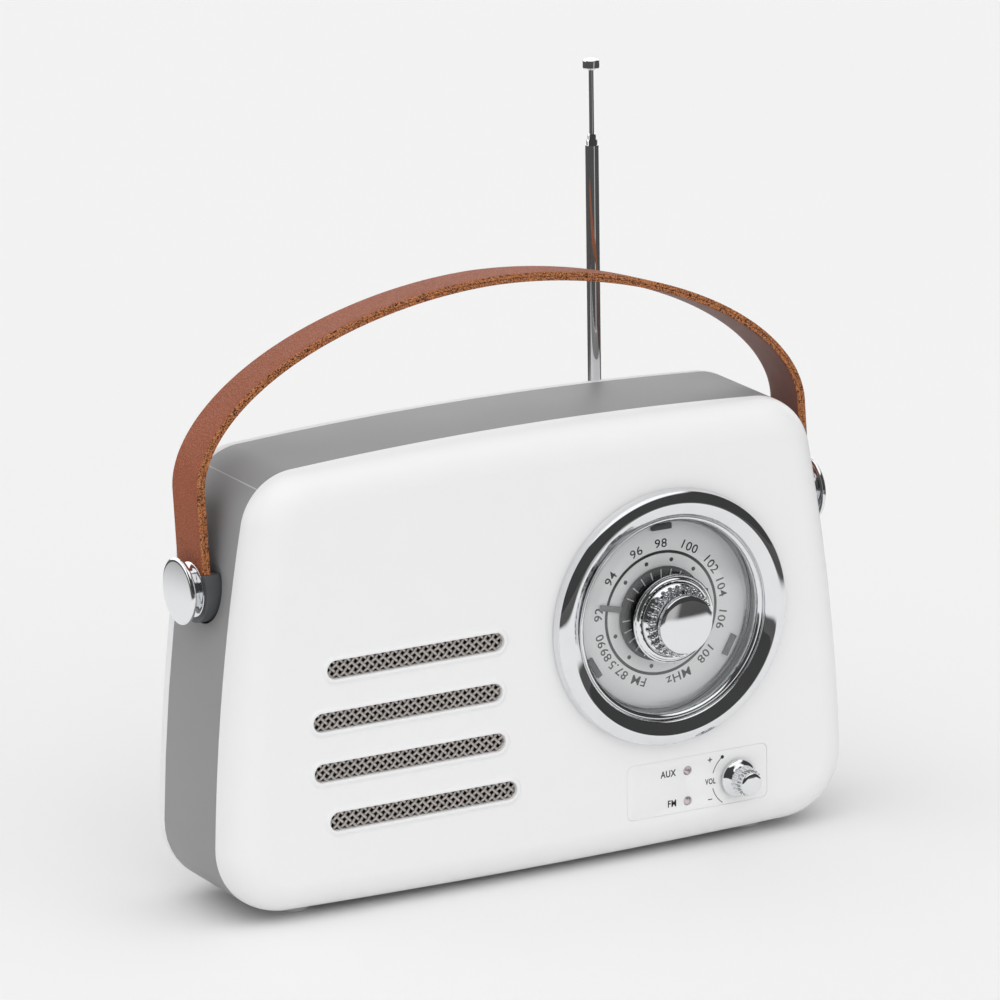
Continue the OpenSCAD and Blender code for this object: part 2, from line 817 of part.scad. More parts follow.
module speaker_cone() {
    color([0.2, 0.2, 0.2])
        turned_y(speaker_x, speaker_z, [
            [speaker_hole, speaker_front + 0.8], [speaker_hole, speaker_front + 1.4],
            [28, speaker_front + 2.2],
            [11.6, speaker_front + 12.6], [10.2, speaker_front + 20], [9.4, speaker_front + 20],
            [9.4, speaker_front + 12], [0, speaker_front + 9.4], [0, speaker_front + 8.8],
            [10, speaker_front + 11.2], [27.4, speaker_front + 0.9]]);
}

module speaker_screws() {
    color([0.6, 0.6, 0.62])
        for (a = [45 : 90 : 315])
            translate([speaker_x, 0, speaker_z])
                rotate([0, a, 0])
                    rod_y(speaker_r + 2.8, 0, 2.6, speaker_front, speaker_front + 2.4);
}

board_low = [8, base_z + 52];
board_high = [94, base_z + 140];
board_holes = [[14, base_z + 58], [88, base_z + 58], [14, base_z + 134], [88, base_z + 134]];

module main_board() {
    color([0.1, 0.4, 0.2])
        difference() {
            block([board_low.x, board_y, board_low.y], [board_high.x, board_y + board_t, board_high.y]);
            for (h = board_holes)
                rod_y(h.x, h.y, screw_r, board_y - past, board_y + 3);
        }
}

module board_screws() {
    color([0.7, 0.6, 0.3])
        for (h = board_holes) {
            rod_y(h.x, h.y, screw_r, board_y - 6, board_y + board_t);
            rod_y(h.x, h.y, screw_head_r, board_y + board_t, board_y + board_t + 2);
        }
}

module amplifier_heatsink() {
    fins = 6;
    color([0.25, 0.25, 0.27])
        translate([62, board_y + board_t, base_z + 100]) {
            cube([24, 2, 18]);
            for (i = [0 : fins - 1])
                translate([i * (24 - 1.2) / (fins - 1), 2, 0])
                    cube([1.2, 7, 18]);
        }
}

ferrite_y = board_y + board_t + 6;
ferrite_z = base_z + 126;
ferrite_r = 4;

module ferrite_rod() {
    color([0.2, 0.2, 0.2]) {
        rod_x(ferrite_y, ferrite_z, ferrite_r, 22, 80);
        for (x = [28, 68])
            difference() {
                block([x, board_y + board_t, ferrite_z - 6], [x + 6, ferrite_y + 6, ferrite_z + 6]);
                rod_x(ferrite_y, ferrite_z, ferrite_r, x - past, x + 7);
            }
    }
}

cell_r = 7.1;
cell_l = 50.4;
cells = 4;
cell_pitch = 16.4;
box_wall = 1.5;
bay_front = back_y - wall - bay_d;
cell_y = bay_front + box_wall + cell_r + 0.3;
cell_x0 = bay_x[0] + (bay_x[1] - bay_x[0] - cell_l) / 2 + 0.5;
plate_w = 0.6;

module battery_box() {
    color([0.2, 0.2, 0.2])
        difference() {
            block([bay_x[0] - box_wall, bay_front, bay_z[0] - box_wall],
                [bay_x[1] + box_wall, back_y - wall, bay_z[1] + box_wall]);
            block([bay_x[0], bay_front + box_wall, bay_z[0]],
                [bay_x[1], back_y, bay_z[1]]);
        }
}

module battery_cells() {
    color([0.15, 0.35, 0.6])
        for (i = [0 : cells - 1])
            translate([0, 0, bay_z[0] + 9.4 + i * cell_pitch]) {
                rod_x(cell_y, 0, cell_r, cell_x0, cell_x0 + cell_l - 1);
                if (i % 2 == 0)
                    rod_x(cell_y, 0, 2.6, cell_x0 + cell_l - 1, cell_x0 + cell_l);
                else
                    rod_x(cell_y, 0, 2.6, cell_x0 - 1, cell_x0);
            }
}

// Contact plates with a short spring stub towards each cell
module battery_contacts() {
    color([0.8, 0.8, 0.8])
        for (i = [0 : cells - 1])
            translate([0, 0, bay_z[0] + 9.4 + i * cell_pitch])
                for (x = [bay_x[0], bay_x[1] - plate_w]) {
                    stub = x < cell_x0 ? [x + plate_w, cell_x0 - 1] : [cell_x0 + cell_l, x];
                    block([x, cell_y - 5, -5], [x + plate_w, cell_y + 5, 5]);
                    rod_x(cell_y, 0, 2.2, stub[0], stub[1]);
                }
}

jack_board_y = back_y - wall - 14;

module jack_board() {
    color([0.1, 0.4, 0.2])
        block([-103, jack_board_y - board_t, base_z + 30], [-44, jack_board_y, base_z + 66]);
}

module power_jack() {
    color([0.1, 0.1, 0.1]) {
        difference() {
            rod_y(jack_xs[0], jack_z, power_body_r, jack_board_y, back_y - 0.3);
            rod_y(jack_xs[0], jack_z, power_r, back_y - 11, back_y + past);
        }
        rod_y(jack_xs[0], jack_z, 0.8, back_y - 11, back_y - 2);
    }
}

module aux_jack() {
    color([0.1, 0.1, 0.1])
        difference() {
            rod_y(jack_xs[1], jack_z, aux_body_r, jack_board_y, back_y - 0.2);
            rod_y(jack_xs[1], jack_z, aux_r, back_y - 15, back_y + past);
        }
}

module usb_port() {
    x = jack_xs[2];
    t = 0.5;
    color([0.75, 0.75, 0.78]) {
        difference() {
            block([x - usb_w / 2 - t, jack_board_y, jack_z - usb_h / 2 - t],
                [x + usb_w / 2 + t, back_y - 0.3, jack_z + usb_h / 2 + t]);
            block([x - usb_w / 2, back_y - 12, jack_z - usb_h / 2],
                [x + usb_w / 2, back_y + past, jack_z + usb_h / 2]);
        }
    }
}

module push_button(x) {
    color([0.4, 0.41, 0.42]) {
        rod_y(x, button_z, button_r, back_y - wall - 0.4, back_y + 1.6);
        rod_y(x, button_z, button_r + 1.2, back_y - wall - 1.8, back_y - wall - 0.4);
    }
}

module mode_button() {
    push_button(button_xs[0]);
}

module back_button() {
    push_button(button_xs[1]);
}

module next_button() {
    push_button(button_xs[2]);
}

module power_switch() {
    w = switch_w / 2 - 2;
    color([0.1, 0.1, 0.1])
        block([switch_x - w - 1.5, back_y - wall - 2, jack_z - switch_h / 2 + 0.4],
            [switch_x + w - 1.5, back_y + 1.4, jack_z + switch_h / 2 - 0.4]);
}

module rubber_feet() {
    color([0.15, 0.15, 0.15])
        for (x = foot_xs)
            for (y = foot_ys)
                translate([x, y, 0])
                    cylinder(r = foot_r, h = foot_h + foot_sink);
}

module case_screws() {
    color([0.7, 0.7, 0.72])
        at_posts() {
            rod_y(0, 0, screw_head_r, back_y - 1.4, back_y - 0.2);
            rod_y(0, 0, screw_r - 0.25, back_y - wall - screw_in, back_y - 1.4);
        }
}

front_shell();
middle_band();
rear_shell();
battery_door();
speaker_grille();
bezel_ring();
inner_ring();
dial_lens();
lens_clips();
scale_plate();
pointer_disc();
tuning_knob();
knob_skirt();
tuning_shaft();
tuning_capacitor();
control_panel();
led_upper();
led_lower();
panel_board();
volume_pot();
volume_shaft();
volume_knob();
handle_strap();
boss_left();
boss_right();
cap_left();
cap_right();
pivot_pins();
aerial_base();
aerial_pin();
aerial_tube_1();
aerial_tube_2();
aerial_tube_3();
aerial_rod();
aerial_tip();
speaker_frame();
speaker_magnet();
speaker_cone();
speaker_screws();
main_board();
board_screws();
amplifier_heatsink();
ferrite_rod();
battery_box();
battery_cells();
battery_contacts();
jack_board();
power_jack();
aux_jack();
usb_port();
mode_button();
back_button();
next_button();
power_switch();
rubber_feet();
case_screws();
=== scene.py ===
"""Tabletop radio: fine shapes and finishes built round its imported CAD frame."""

import sys

import json
import math

import bmesh
import bpy
from bpy.props import FloatProperty, FloatVectorProperty, IntProperty, PointerProperty
from mathutils import Matrix, Vector
from mathutils.geometry import delaunay_2d_cdt
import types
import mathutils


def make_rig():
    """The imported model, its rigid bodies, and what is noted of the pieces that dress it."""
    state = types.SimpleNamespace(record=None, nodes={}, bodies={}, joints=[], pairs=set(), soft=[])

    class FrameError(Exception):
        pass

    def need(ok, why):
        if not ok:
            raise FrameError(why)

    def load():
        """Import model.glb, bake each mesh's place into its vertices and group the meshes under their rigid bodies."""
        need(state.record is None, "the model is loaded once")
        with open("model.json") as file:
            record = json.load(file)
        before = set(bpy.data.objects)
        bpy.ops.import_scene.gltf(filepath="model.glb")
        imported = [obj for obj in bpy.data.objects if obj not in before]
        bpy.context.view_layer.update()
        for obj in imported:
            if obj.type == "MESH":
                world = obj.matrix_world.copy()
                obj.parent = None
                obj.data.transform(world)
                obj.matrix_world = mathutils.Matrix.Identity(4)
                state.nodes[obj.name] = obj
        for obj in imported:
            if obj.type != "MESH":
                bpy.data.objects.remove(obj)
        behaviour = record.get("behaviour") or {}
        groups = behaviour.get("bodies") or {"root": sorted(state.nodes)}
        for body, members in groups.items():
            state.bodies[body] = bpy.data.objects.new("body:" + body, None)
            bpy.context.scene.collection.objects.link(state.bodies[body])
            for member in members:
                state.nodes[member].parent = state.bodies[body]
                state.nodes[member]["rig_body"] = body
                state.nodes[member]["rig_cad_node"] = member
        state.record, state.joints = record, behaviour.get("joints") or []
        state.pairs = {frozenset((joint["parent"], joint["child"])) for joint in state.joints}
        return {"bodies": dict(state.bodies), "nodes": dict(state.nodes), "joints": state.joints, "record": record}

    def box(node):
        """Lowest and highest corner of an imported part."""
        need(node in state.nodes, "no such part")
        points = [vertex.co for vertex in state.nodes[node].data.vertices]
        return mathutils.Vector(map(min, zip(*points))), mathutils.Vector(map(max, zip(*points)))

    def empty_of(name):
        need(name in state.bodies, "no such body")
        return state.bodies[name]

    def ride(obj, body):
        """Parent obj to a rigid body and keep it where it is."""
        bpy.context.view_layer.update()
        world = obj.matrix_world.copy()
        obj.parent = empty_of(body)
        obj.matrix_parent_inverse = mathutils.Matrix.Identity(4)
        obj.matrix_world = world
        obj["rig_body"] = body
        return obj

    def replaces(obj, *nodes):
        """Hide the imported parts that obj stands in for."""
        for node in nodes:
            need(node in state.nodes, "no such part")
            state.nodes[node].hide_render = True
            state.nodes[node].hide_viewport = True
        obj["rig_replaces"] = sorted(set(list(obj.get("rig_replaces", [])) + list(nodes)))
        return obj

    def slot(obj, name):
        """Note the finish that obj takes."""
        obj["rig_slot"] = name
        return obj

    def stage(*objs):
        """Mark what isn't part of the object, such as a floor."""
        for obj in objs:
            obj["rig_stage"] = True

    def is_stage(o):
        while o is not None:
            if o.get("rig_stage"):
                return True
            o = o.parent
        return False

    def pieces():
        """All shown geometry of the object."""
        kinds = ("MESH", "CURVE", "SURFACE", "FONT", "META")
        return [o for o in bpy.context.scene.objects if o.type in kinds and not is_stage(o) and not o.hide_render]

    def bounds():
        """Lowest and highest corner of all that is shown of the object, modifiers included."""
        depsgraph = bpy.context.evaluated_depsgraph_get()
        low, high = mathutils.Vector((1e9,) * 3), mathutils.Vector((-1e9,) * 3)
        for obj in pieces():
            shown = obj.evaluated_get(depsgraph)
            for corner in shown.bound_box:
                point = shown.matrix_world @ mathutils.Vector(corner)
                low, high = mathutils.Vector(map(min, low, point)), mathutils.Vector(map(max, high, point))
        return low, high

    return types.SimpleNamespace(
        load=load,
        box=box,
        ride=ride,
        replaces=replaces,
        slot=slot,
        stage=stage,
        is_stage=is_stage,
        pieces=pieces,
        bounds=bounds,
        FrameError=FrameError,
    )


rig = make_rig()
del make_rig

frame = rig.load()
bpy.context.view_layer.update()
CAD_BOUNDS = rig.bounds()

bl_info = {
    "name": "Tabletop radio",
    "version": (1, 0, 0),
    "blender": (4, 5, 0),
    "location": "View3D > Sidebar > Radio",
    "description": "Builds the looks of a tabletop radio round its CAD frame",
    "category": "Add Mesh",
}

MM = 0.001


def corners(node):
    """Lowest and highest corner of a CAD node, in millimetres."""
    low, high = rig.box(node)
    return low / MM, high / MM


def middle(node):
    low, high = corners(node)
    return (low + high) / 2


def front_of(node):
    """Centre of a CAD node as seen from the front: X and Z in millimetres."""
    spot = middle(node)
    return spot.x, spot.z


# ---- Sizes, most of them taken from the frame, in millimetres ----

LIP_OUT = 0.7
WALL = 2.6
EDGE = 14.0
EDGE_POWER = 2 / 2.2
FACE = corners("front_shell")[0].y + LIP_OUT
SEAM, REAR_SEAM = corners("middle_band")[0].y, corners("middle_band")[1].y
BACK = REAR_SEAM + EDGE
FOOT = corners("middle_band")[0].z
CASE_H = corners("middle_band")[1].z - FOOT
DIAL = front_of("scale_plate")
PLATE = corners("scale_plate")[0].y
VOLUME = front_of("volume_shaft")
PIVOT_Y, PIVOT_Z = middle("pivot_pins").yz
CAD_STRAP_IN = 125.2
STRAP_IN = 124.4
INK = 0.04
MESH_Y = FACE + 1.3
SLOT_H = 7.1
SLOTS = [
    (-91, -13.5, FOOT + 35.4),
    (-97, -18, FOOT + 54.6),
    (-97, -19, FOOT + 73.8),
    (-91, -18, FOOT + 93),
]
POSTS = [(x, FOOT + z) for x, z in ((-108, 30), (108, 30), (-102, 130), (102, 130))]
LAMPS = ("led_upper", "led_lower")
KEYS = ("mode_button", "back_button", "next_button")


# ---- Node building ----


class Value:
    """A socket whose sums, products and comparisons are Math nodes."""

    def __init__(self, nodes, socket):
        self.nodes, self.socket = nodes, socket

    def math(self, operation, other=None, swap=False):
        pair = (other, self) if swap else (self, other)
        sockets = {i: v for i, v in enumerate(pair) if v is not None}
        return self.nodes.add("ShaderNodeMath", {"operation": operation}, sockets)

    def __add__(self, other):
        return self.math("ADD", other)

    def __sub__(self, other):
        return self.math("SUBTRACT", other)

    def __rsub__(self, other):
        return self.math("SUBTRACT", other, swap=True)

    def __mul__(self, other):
        return self.math("MULTIPLY", other)

    def __truediv__(self, other):
        return self.math("DIVIDE", other)

    def __mod__(self, other):
        return self.math("FLOORED_MODULO", other)

    def __gt__(self, other):
        return self.math("GREATER_THAN", other)

    def __abs__(self):
        return self.math("ABSOLUTE")

    __radd__, __rmul__ = __add__, __mul__

    def between(self, low, high):
        """0 below low and 1 above high, smooth in between."""
        return self.nodes.add(
            "ShaderNodeMapRange",
            {"interpolation_type": "SMOOTHSTEP"},
            {0: self, 1: low, 2: high},
        )

    def xyz(self):
        split = self.nodes.add("ShaderNodeSeparateXYZ", sockets={0: self})
        return [Value(self.nodes, s) for s in split.socket.node.outputs]


class Nodes:
    """Adds nodes to a tree."""

    def __init__(self, tree):
        self.tree = tree
        tree.nodes.clear()

    def add(self, kind, settings=None, sockets=None, out=0):
        """Adds a node: its settings first, then the values or links of its sockets."""
        node = self.tree.nodes.new(kind)
        for key, value in (settings or {}).items():
            setattr(node, key, value)
        for key, value in (sockets or {}).items():
            if isinstance(value, Value):
                self.tree.links.new(value.socket, node.inputs[key])
            else:
                node.inputs[key].default_value = value
        return Value(self, node.outputs[out]) if node.outputs else node


class Finish(Nodes):
    """A material under construction. Lengths are in millimetres."""

    def __init__(self, name):
        self.material = bpy.data.materials.new(f"{name}_finish")
        self.material.use_nodes = True
        super().__init__(self.material.node_tree)
        self.place = self.add("ShaderNodeTexCoord", out="Object")

    def stretched(self, factors, centre=(0, 0, 0)):
        """Object coordinates from a centre, multiplied along each axis."""
        moved = self.add(
            "ShaderNodeVectorMath",
            {"operation": "SUBTRACT"},
            {0: self.place, 1: [c * MM for c in centre]},
        )
        return self.add("ShaderNodeVectorMath", {"operation": "MULTIPLY"}, {0: moved, 1: factors})

    def noise(self, size, detail=2.0, place=None):
        sockets = {"Vector": place or self.place, "Scale": 1 / (size * MM), "Detail": detail}
        return self.add("ShaderNodeTexNoise", sockets=sockets)

    def cells(self, size, feature="DISTANCE_TO_EDGE", place=None):
        sockets = {"Vector": place or self.place, "Scale": 1 / (size * MM)}
        return self.add("ShaderNodeTexVoronoi", {"feature": feature}, sockets)

    def mix(self, factor, first, second):
        """Colour between two colours."""
        return self.add(
            "ShaderNodeMix",
            {"data_type": "RGBA"},
            {0: factor, 6: opaque(first), 7: opaque(second)},
            out=2,
        )

    def shader(self, colour, roughness, metallic=0.0, height=None, depth=0.0, **others):
        sockets = {"Base Color": opaque(colour), "Roughness": roughness, "Metallic": metallic}
        if height is not None:
            sockets["Normal"] = self.add(
                "ShaderNodeBump", sockets={"Distance": depth * MM, "Height": height}
            )
        named = {k.replace("_", " ").title().replace("Ior", "IOR"): v for k, v in others.items()}
        sockets.update(named)
        return self.add("ShaderNodeBsdfPrincipled", sockets=sockets)

    def done(self, shader):
        self.add("ShaderNodeOutputMaterial", sockets={"Surface": shader})
        return self.material


def opaque(colour):
    return colour if isinstance(colour, Value) or len(colour) == 4 else (*colour, 1)


def shade(colour, factor):
    return tuple(min(1.0, c * factor) for c in colour)


def moulded(name, colour, roughness, grain=0.3, depth=0.006, vary=0.03, metallic=0.0, **others):
    """Plain moulded, cast or plated stuff: cloudy tint, uneven gloss and a fine surface."""
    f = Finish(name)
    cloud, fine = f.noise(16, 3), f.noise(grain, 3)
    colour = f.mix(cloud, shade(colour, 1 - vary), shade(colour, 1 + vary))
    gloss = (cloud - 0.5) * 0.12 + (fine - 0.5) * 0.06 + roughness
    return f.done(f.shader(colour, gloss, metallic, fine, depth, **others))


def brushed(name, colour, roughness, stretch):
    """Metal with fine drawn lines along the axis whose stretch is smallest."""
    f = Finish(name)
    lines = f.noise(0.35, 2, f.stretched(stretch))
    cloud = f.noise(9, 2)
    colour = f.mix(lines, shade(colour, 0.93), shade(colour, 1.05))
    gloss = (lines - 0.5) * 0.12 + (cloud - 0.5) * 0.06 + roughness
    return f.done(f.shader(colour, gloss, 1.0, lines, 0.004))


def white_plastic():
    shown = bpy.context.scene.radio_case
    return moulded(
        "white_plastic", tuple(shown.shell_colour), shown.shell_gloss, 0.25, 0.003, 0.008
    )


def band_plastic():
    """Satin grey band with the hair-thin parting line of its mould near the top corners: raised in the bump, and
    painted lighter as a painted highlight.
    """
    shown = bpy.context.scene.radio_case
    grey = tuple(shown.band_colour)
    f = Finish("band_plastic")
    x, _, z = f.place.xyz()
    offset = abs(abs(x) - 0.1107)
    line = (1 - offset.between(0.00006, 0.00022)) * (z > 0.1)
    cloud, fine = f.noise(20, 3), f.noise(0.22, 3)
    tint = f.mix(cloud, shade(grey, 0.97), shade(grey, 1.03))
    # The parting line is painted 1.9 times lighter than the grey: a painted highlight along the raised line.
    colour = f.mix(line, tint, shade(grey, 1.9))
    height = fine + line * 2.5
    gloss = (cloud - 0.5) * 0.08 + (fine - 0.5) * 0.1 + 0.46
    return f.done(f.shader(colour, gloss, 0.0, height, 0.008))


def chrome():
    f = Finish("chrome")
    cloud, haze = f.noise(7, 2), f.noise(0.6, 3)
    colour = f.mix(cloud, (0.80, 0.81, 0.83), (0.86, 0.87, 0.88))
    gloss = haze.between(0.45, 0.8) * 0.05 + cloud * 0.03 + 0.035
    return f.done(f.shader(colour, gloss, 1.0, haze, 0.0006))


def clear_lens():
    """Polished clear moulding: seen straight through, mirror-like at a glance."""
    f = Finish("clear_lens")
    cloud = f.noise(12, 2)
    mirror = f.add("ShaderNodeFresnel", sockets={"IOR": 1.3})
    see = f.add("ShaderNodeBsdfTransparent", sockets={0: (0.985, 0.988, 0.99, 1)})
    skin = f.shader((0.95, 0.96, 0.97), cloud * 0.02 + 0.02, 1.0, cloud, 0.004)
    factor = mirror * 1.5 + cloud * 0.03 + 0.02
    both = f.add("ShaderNodeMixShader", sockets={0: factor, 1: see, 2: skin})
    return f.done(both)


def scale_silver():
    """Pale satin dial plate, spun so that its fine lines run round the centre."""
    f = Finish("scale_silver")
    x, _, z = f.stretched((1, 1, 1), (DIAL[0], 0, DIAL[1])).xyz()
    radius = (x * x + z * z).math("SQRT")
    around = f.add("ShaderNodeCombineXYZ", sockets={0: radius * 6, 1: 0.0, 2: 0.0})
    lines = f.noise(0.6, 2, around)
    cloud = f.noise(10, 2)
    colour = f.mix(lines, (0.92, 0.92, 0.92), (0.96, 0.96, 0.96))
    gloss = (lines - 0.5) * 0.1 + (cloud - 0.5) * 0.08 + 0.5
    return f.done(f.shader(colour, gloss, 0.0, lines, 0.003))


def leather_grain():
    """Tan top-grain leather: small pebbled cells, pores and a cloudy dye."""
    shown = bpy.context.scene.radio_handle
    tan = tuple(shown.leather_colour)
    f = Finish("leather_grain")
    bent = f.noise(1.1, 2)
    pebbles = f.cells(1.0).between(0.02, 0.26)
    pores = f.cells(0.5, "F1").between(0.05, 0.3)
    cloud, dye = f.noise(26, 4), f.noise(5, 3)
    base = f.mix(cloud, shade(tan, 0.84), shade(tan, 1.16))
    worn = f.mix(dye * 0.35, base, shade(tan, 1.3))
    # The creases between the pebbles are painted darker: painted shade in the creases.
    colour = f.mix((1 - pebbles) * 0.55, worn, shade(tan, 0.55))
    height = pebbles * 0.7 + pores * 0.3 + bent * 0.5
    gloss = (1 - pebbles) * 0.2 + (dye - 0.5) * 0.12 + 0.46
    return f.done(f.shader(colour, gloss, 0.0, height, 0.16, specular_ior_level=0.3))


def leather_edge():
    """Raw cut edge: orange fibres with dark flecks and gaps."""
    f = Finish("leather_edge")
    fibre, flecks, cloud = f.noise(0.35, 4), f.noise(0.6, 3), f.noise(4, 2)
    light = f.mix(cloud, (0.50, 0.165, 0.05), (0.66, 0.26, 0.085))
    threads = f.mix(fibre.between(0.4, 0.56), (0.17, 0.05, 0.018), light)
    colour = f.mix(flecks.between(0.52, 0.6), threads, (0.045, 0.014, 0.007))
    height = fibre - flecks.between(0.56, 0.66) * 0.8
    return f.done(f.shader(colour, 0.8 - fibre * 0.1, 0.0, height, 0.22))


def leather_inside():
    """Lining side: darker, flat and slightly napped."""
    f = Finish("leather_inside")
    nap, cloud = f.noise(0.25, 4), f.noise(6, 3)
    colour = f.mix(cloud, (0.17, 0.062, 0.045), (0.25, 0.092, 0.068))
    colour = f.mix(nap.between(0.3, 0.7) * 0.4, colour, (0.30, 0.14, 0.11))
    return f.done(f.shader(colour, nap * 0.15 + 0.48, 0.0, nap, 0.06, specular_ior_level=0.6))


def grille_metal():
    f = Finish("grille_metal")
    rub, cloud = f.noise(0.5, 2), f.noise(8, 2)
    _, y, _ = f.place.xyz()
    # deep marks the parts of the wires further back than the middle of the weave; they are painted nearly black below,
    # as painted shade on the under-passes.
    deep = (y - MESH_Y * MM).between(-0.0003, 0.0003)
    colour = f.mix(cloud, (0.46, 0.42, 0.40), (0.58, 0.53, 0.50))
    colour = f.mix(rub.between(0.45, 0.75) * 0.5, colour, (0.74, 0.70, 0.66))
    colour = f.mix(deep * 0.85, colour, (0.05, 0.043, 0.04))
    return f.done(f.shader(colour, rub * 0.2 + 0.3, 0.5, rub, 0.02))


def dust_cloth():
    """Black cloth behind the woven grille."""
    f = Finish("dust_cloth")
    x, _, z = f.place.xyz()
    warp = abs(((x / 0.0006) % 1) - 0.5)
    weft = abs(((z / 0.0006) % 1) - 0.5)
    fuzz = f.noise(0.8, 3)
    colour = f.mix(fuzz, (0.004, 0.004, 0.004), (0.012, 0.011, 0.011))
    return f.done(f.shader(colour, fuzz * 0.1 + 0.85, 0.0, warp + weft, 0.1))


def circuit_board():
    """Green lacquer over copper tracks, with pads and a faint glass weave."""
    f = Finish("circuit_board")
    x, _, z = f.place.xyz()
    tracks = f.cells(5.5, place=f.stretched((1, 0.2, 1))).between(0.045, 0.06)
    pads = f.cells(3.2, "F1").between(0.13, 0.16)
    weave = abs(((x / 0.0009) % 1) - 0.5) + abs(((z / 0.0009) % 1) - 0.5)
    cloud = f.noise(14, 2)
    green = f.mix(cloud, (0.012, 0.10, 0.045), (0.02, 0.14, 0.06))
    colour = f.mix(tracks, (0.03, 0.22, 0.08), green)
    colour = f.mix(pads, (0.62, 0.60, 0.55), colour)
    height = (1 - tracks) * 0.6 + (1 - pads) + weave * 0.08
    return f.done(f.shader(colour, pads * 0.1 + 0.28, 0.0, height, 0.04, coat_weight=0.3))


def cell_wrap():
    """Printed sleeve of a battery cell: blue with a copper band near one end."""
    f = Finish("cell_wrap")
    x, _, _ = f.place.xyz()
    low, high = corners("battery_cells")
    band = x > (low.x + (high.x - low.x) * 0.68) * MM
    foil = f.noise(0.8, 2)
    blue = f.mix(foil, (0.015, 0.06, 0.22), (0.025, 0.09, 0.30))
    colour = f.mix(band, blue, (0.50, 0.26, 0.10))
    return f.done(f.shader(colour, foil * 0.12 + 0.25, 0.3, foil, 0.01))


def paper_cone():
    f = Finish("paper_cone")
    centre = middle("speaker_cone")
    x, _, z = f.stretched((1, 1, 1), (centre.x, 0, centre.z)).xyz()
    radius = (x * x + z * z).math("SQRT")
    ridges = abs(((radius / 0.0026) % 1) - 0.5)
    pulp = f.noise(0.7, 4)
    colour = f.mix(pulp, (0.012, 0.012, 0.012), (0.04, 0.038, 0.036))
    return f.done(f.shader(colour, pulp * 0.1 + 0.8, 0.0, ridges + pulp * 0.5, 0.25))


def led_lens():
    f = Finish("led_lens")
    cloud, fine = f.noise(1.2, 2), f.noise(0.3, 2)
    colour = f.mix(cloud.between(0.35, 0.6), (0.16, 0.135, 0.14), (0.58, 0.50, 0.51))
    return f.done(f.shader(colour, fine * 0.1 + 0.16, 0.0, fine, 0.004, coat_weight=0.7))


def studio_floor():
    """Pale matt floor. Mirrors see it end half a metre away, as on a table in a dark room."""
    f = Finish("studio_floor")
    x, y, _ = f.place.xyz()
    reach = (x * x + y * y).math("SQRT")
    far = reach.between(0.47, 0.66)
    strip = ((x * 0.259 - y * 0.966) / (reach + 0.001)).between(0.985, 0.998)
    dark = f.mix(strip, (0.05, 0.047, 0.045), (0.5, 0.49, 0.48))
    seen = f.add("ShaderNodeLightPath", out="Is Glossy Ray")
    cloud = f.noise(300, 2)
    pale = f.mix(cloud, (0.895, 0.895, 0.893), (0.905, 0.905, 0.903))
    return f.done(f.shader(f.mix(far * seen, pale, dark), cloud * 0.05 + 0.9))


def black_ink():
    f = Finish("black_ink")
    cloud, fine = f.noise(3, 2), f.noise(0.2, 2)
    colour = f.mix(cloud, (0.004, 0.004, 0.004), (0.012, 0.012, 0.0125))
    return f.done(f.shader(colour, fine * 0.15 + 0.45, 0.0, fine, 0.002))


# Colour, roughness, grain size, grain depth, variation of the tint, metallic
MOULDED = {
    "boss_grey": ((0.072, 0.076, 0.082), 0.42, 0.25, 0.01, 0.06),
    "clip_dark": ((0.09, 0.09, 0.092), 0.5, 0.3, 0.01, 0.12),
    "pointer_black": ((0.006, 0.006, 0.007), 0.5, 0.3, 0.003, 0.2),
    "pointer_grey": ((0.20, 0.20, 0.205), 0.45, 0.3, 0.003, 0.06),
    "tick_white": ((0.75, 0.75, 0.75), 0.5, 0.2, 0.003, 0.02),
    "component": ((0.40, 0.38, 0.32), 0.45, 0.4, 0.02, 0.08),
    "black_plastic": ((0.018, 0.018, 0.019), 0.48, 0.35, 0.012, 0.2),
    "button_grey": ((0.085, 0.088, 0.093), 0.45, 0.3, 0.01, 0.06),
    "rubber": ((0.5, 0.5, 0.5), 0.75, 0.5, 0.03, 0.06),
    "black_steel": ((0.03, 0.03, 0.032), 0.5, 0.6, 0.02, 0.2, 0.6),
    "ferrite": ((0.035, 0.032, 0.03), 0.62, 0.7, 0.04, 0.25),
}
# Colour, roughness, stretch of the drawn lines
BRUSHED = {
    "steel": ((0.56, 0.56, 0.58), 0.3, (1, 0.08, 1)),
    "brass": ((0.68, 0.50, 0.22), 0.32, (1, 0.2, 1)),
    "heatsink_alu": ((0.12, 0.12, 0.13), 0.42, (1, 1, 0.05)),
}


def finish(name):
    """The finish of that name, made when it is first asked for."""
    made = bpy.data.materials.get(f"{name}_finish")
    if made:
        return made
    if name in MOULDED:
        return moulded(name, *MOULDED[name])
    if name in BRUSHED:
        return brushed(name, *BRUSHED[name])
    return globals()[name]()


# ---- Mesh building ----


def arc(centre, radius, start, stop, steps):
    """Points on an arc between two angles in radians, without the last one."""
    angles = [start + (stop - start) * i / steps for i in range(steps)]
    return [(centre[0] + radius * math.cos(a), centre[1] + radius * math.sin(a)) for a in angles]


def circle(centre, radius, steps=48):
    return arc(centre, radius, 0, 2 * math.pi, steps)


def bar(x0, x1, z0, z1, radius, grow=0.0, steps=12):
    """Rectangle with round corners, grown outwards by grow."""
    r = radius + grow
    spots = [(x1 - radius, z1 - radius), (x0 + radius, z1 - radius)]
    spots += [(x0 + radius, z0 + radius), (x1 - radius, z0 + radius)]
    turn = math.pi / 2
    return [
        p
        for k, spot in enumerate(spots)
        for p in arc(spot, r, k * turn, (k + 1) * turn, steps) + arc(spot, r, (k + 1) * turn, 0, 1)
    ]


def circle_cross(a, ra, b, rb):
    """Left-hand point where a circle round a meets a circle round b."""
    a, b = Vector(a), Vector(b)
    gap = (b - a).length
    way = (b - a) / gap
    along = (ra * ra - rb * rb + gap * gap) / (2 * gap)
    return a + along * way + math.sqrt(ra * ra - along * along) * Vector((-way.y, way.x))


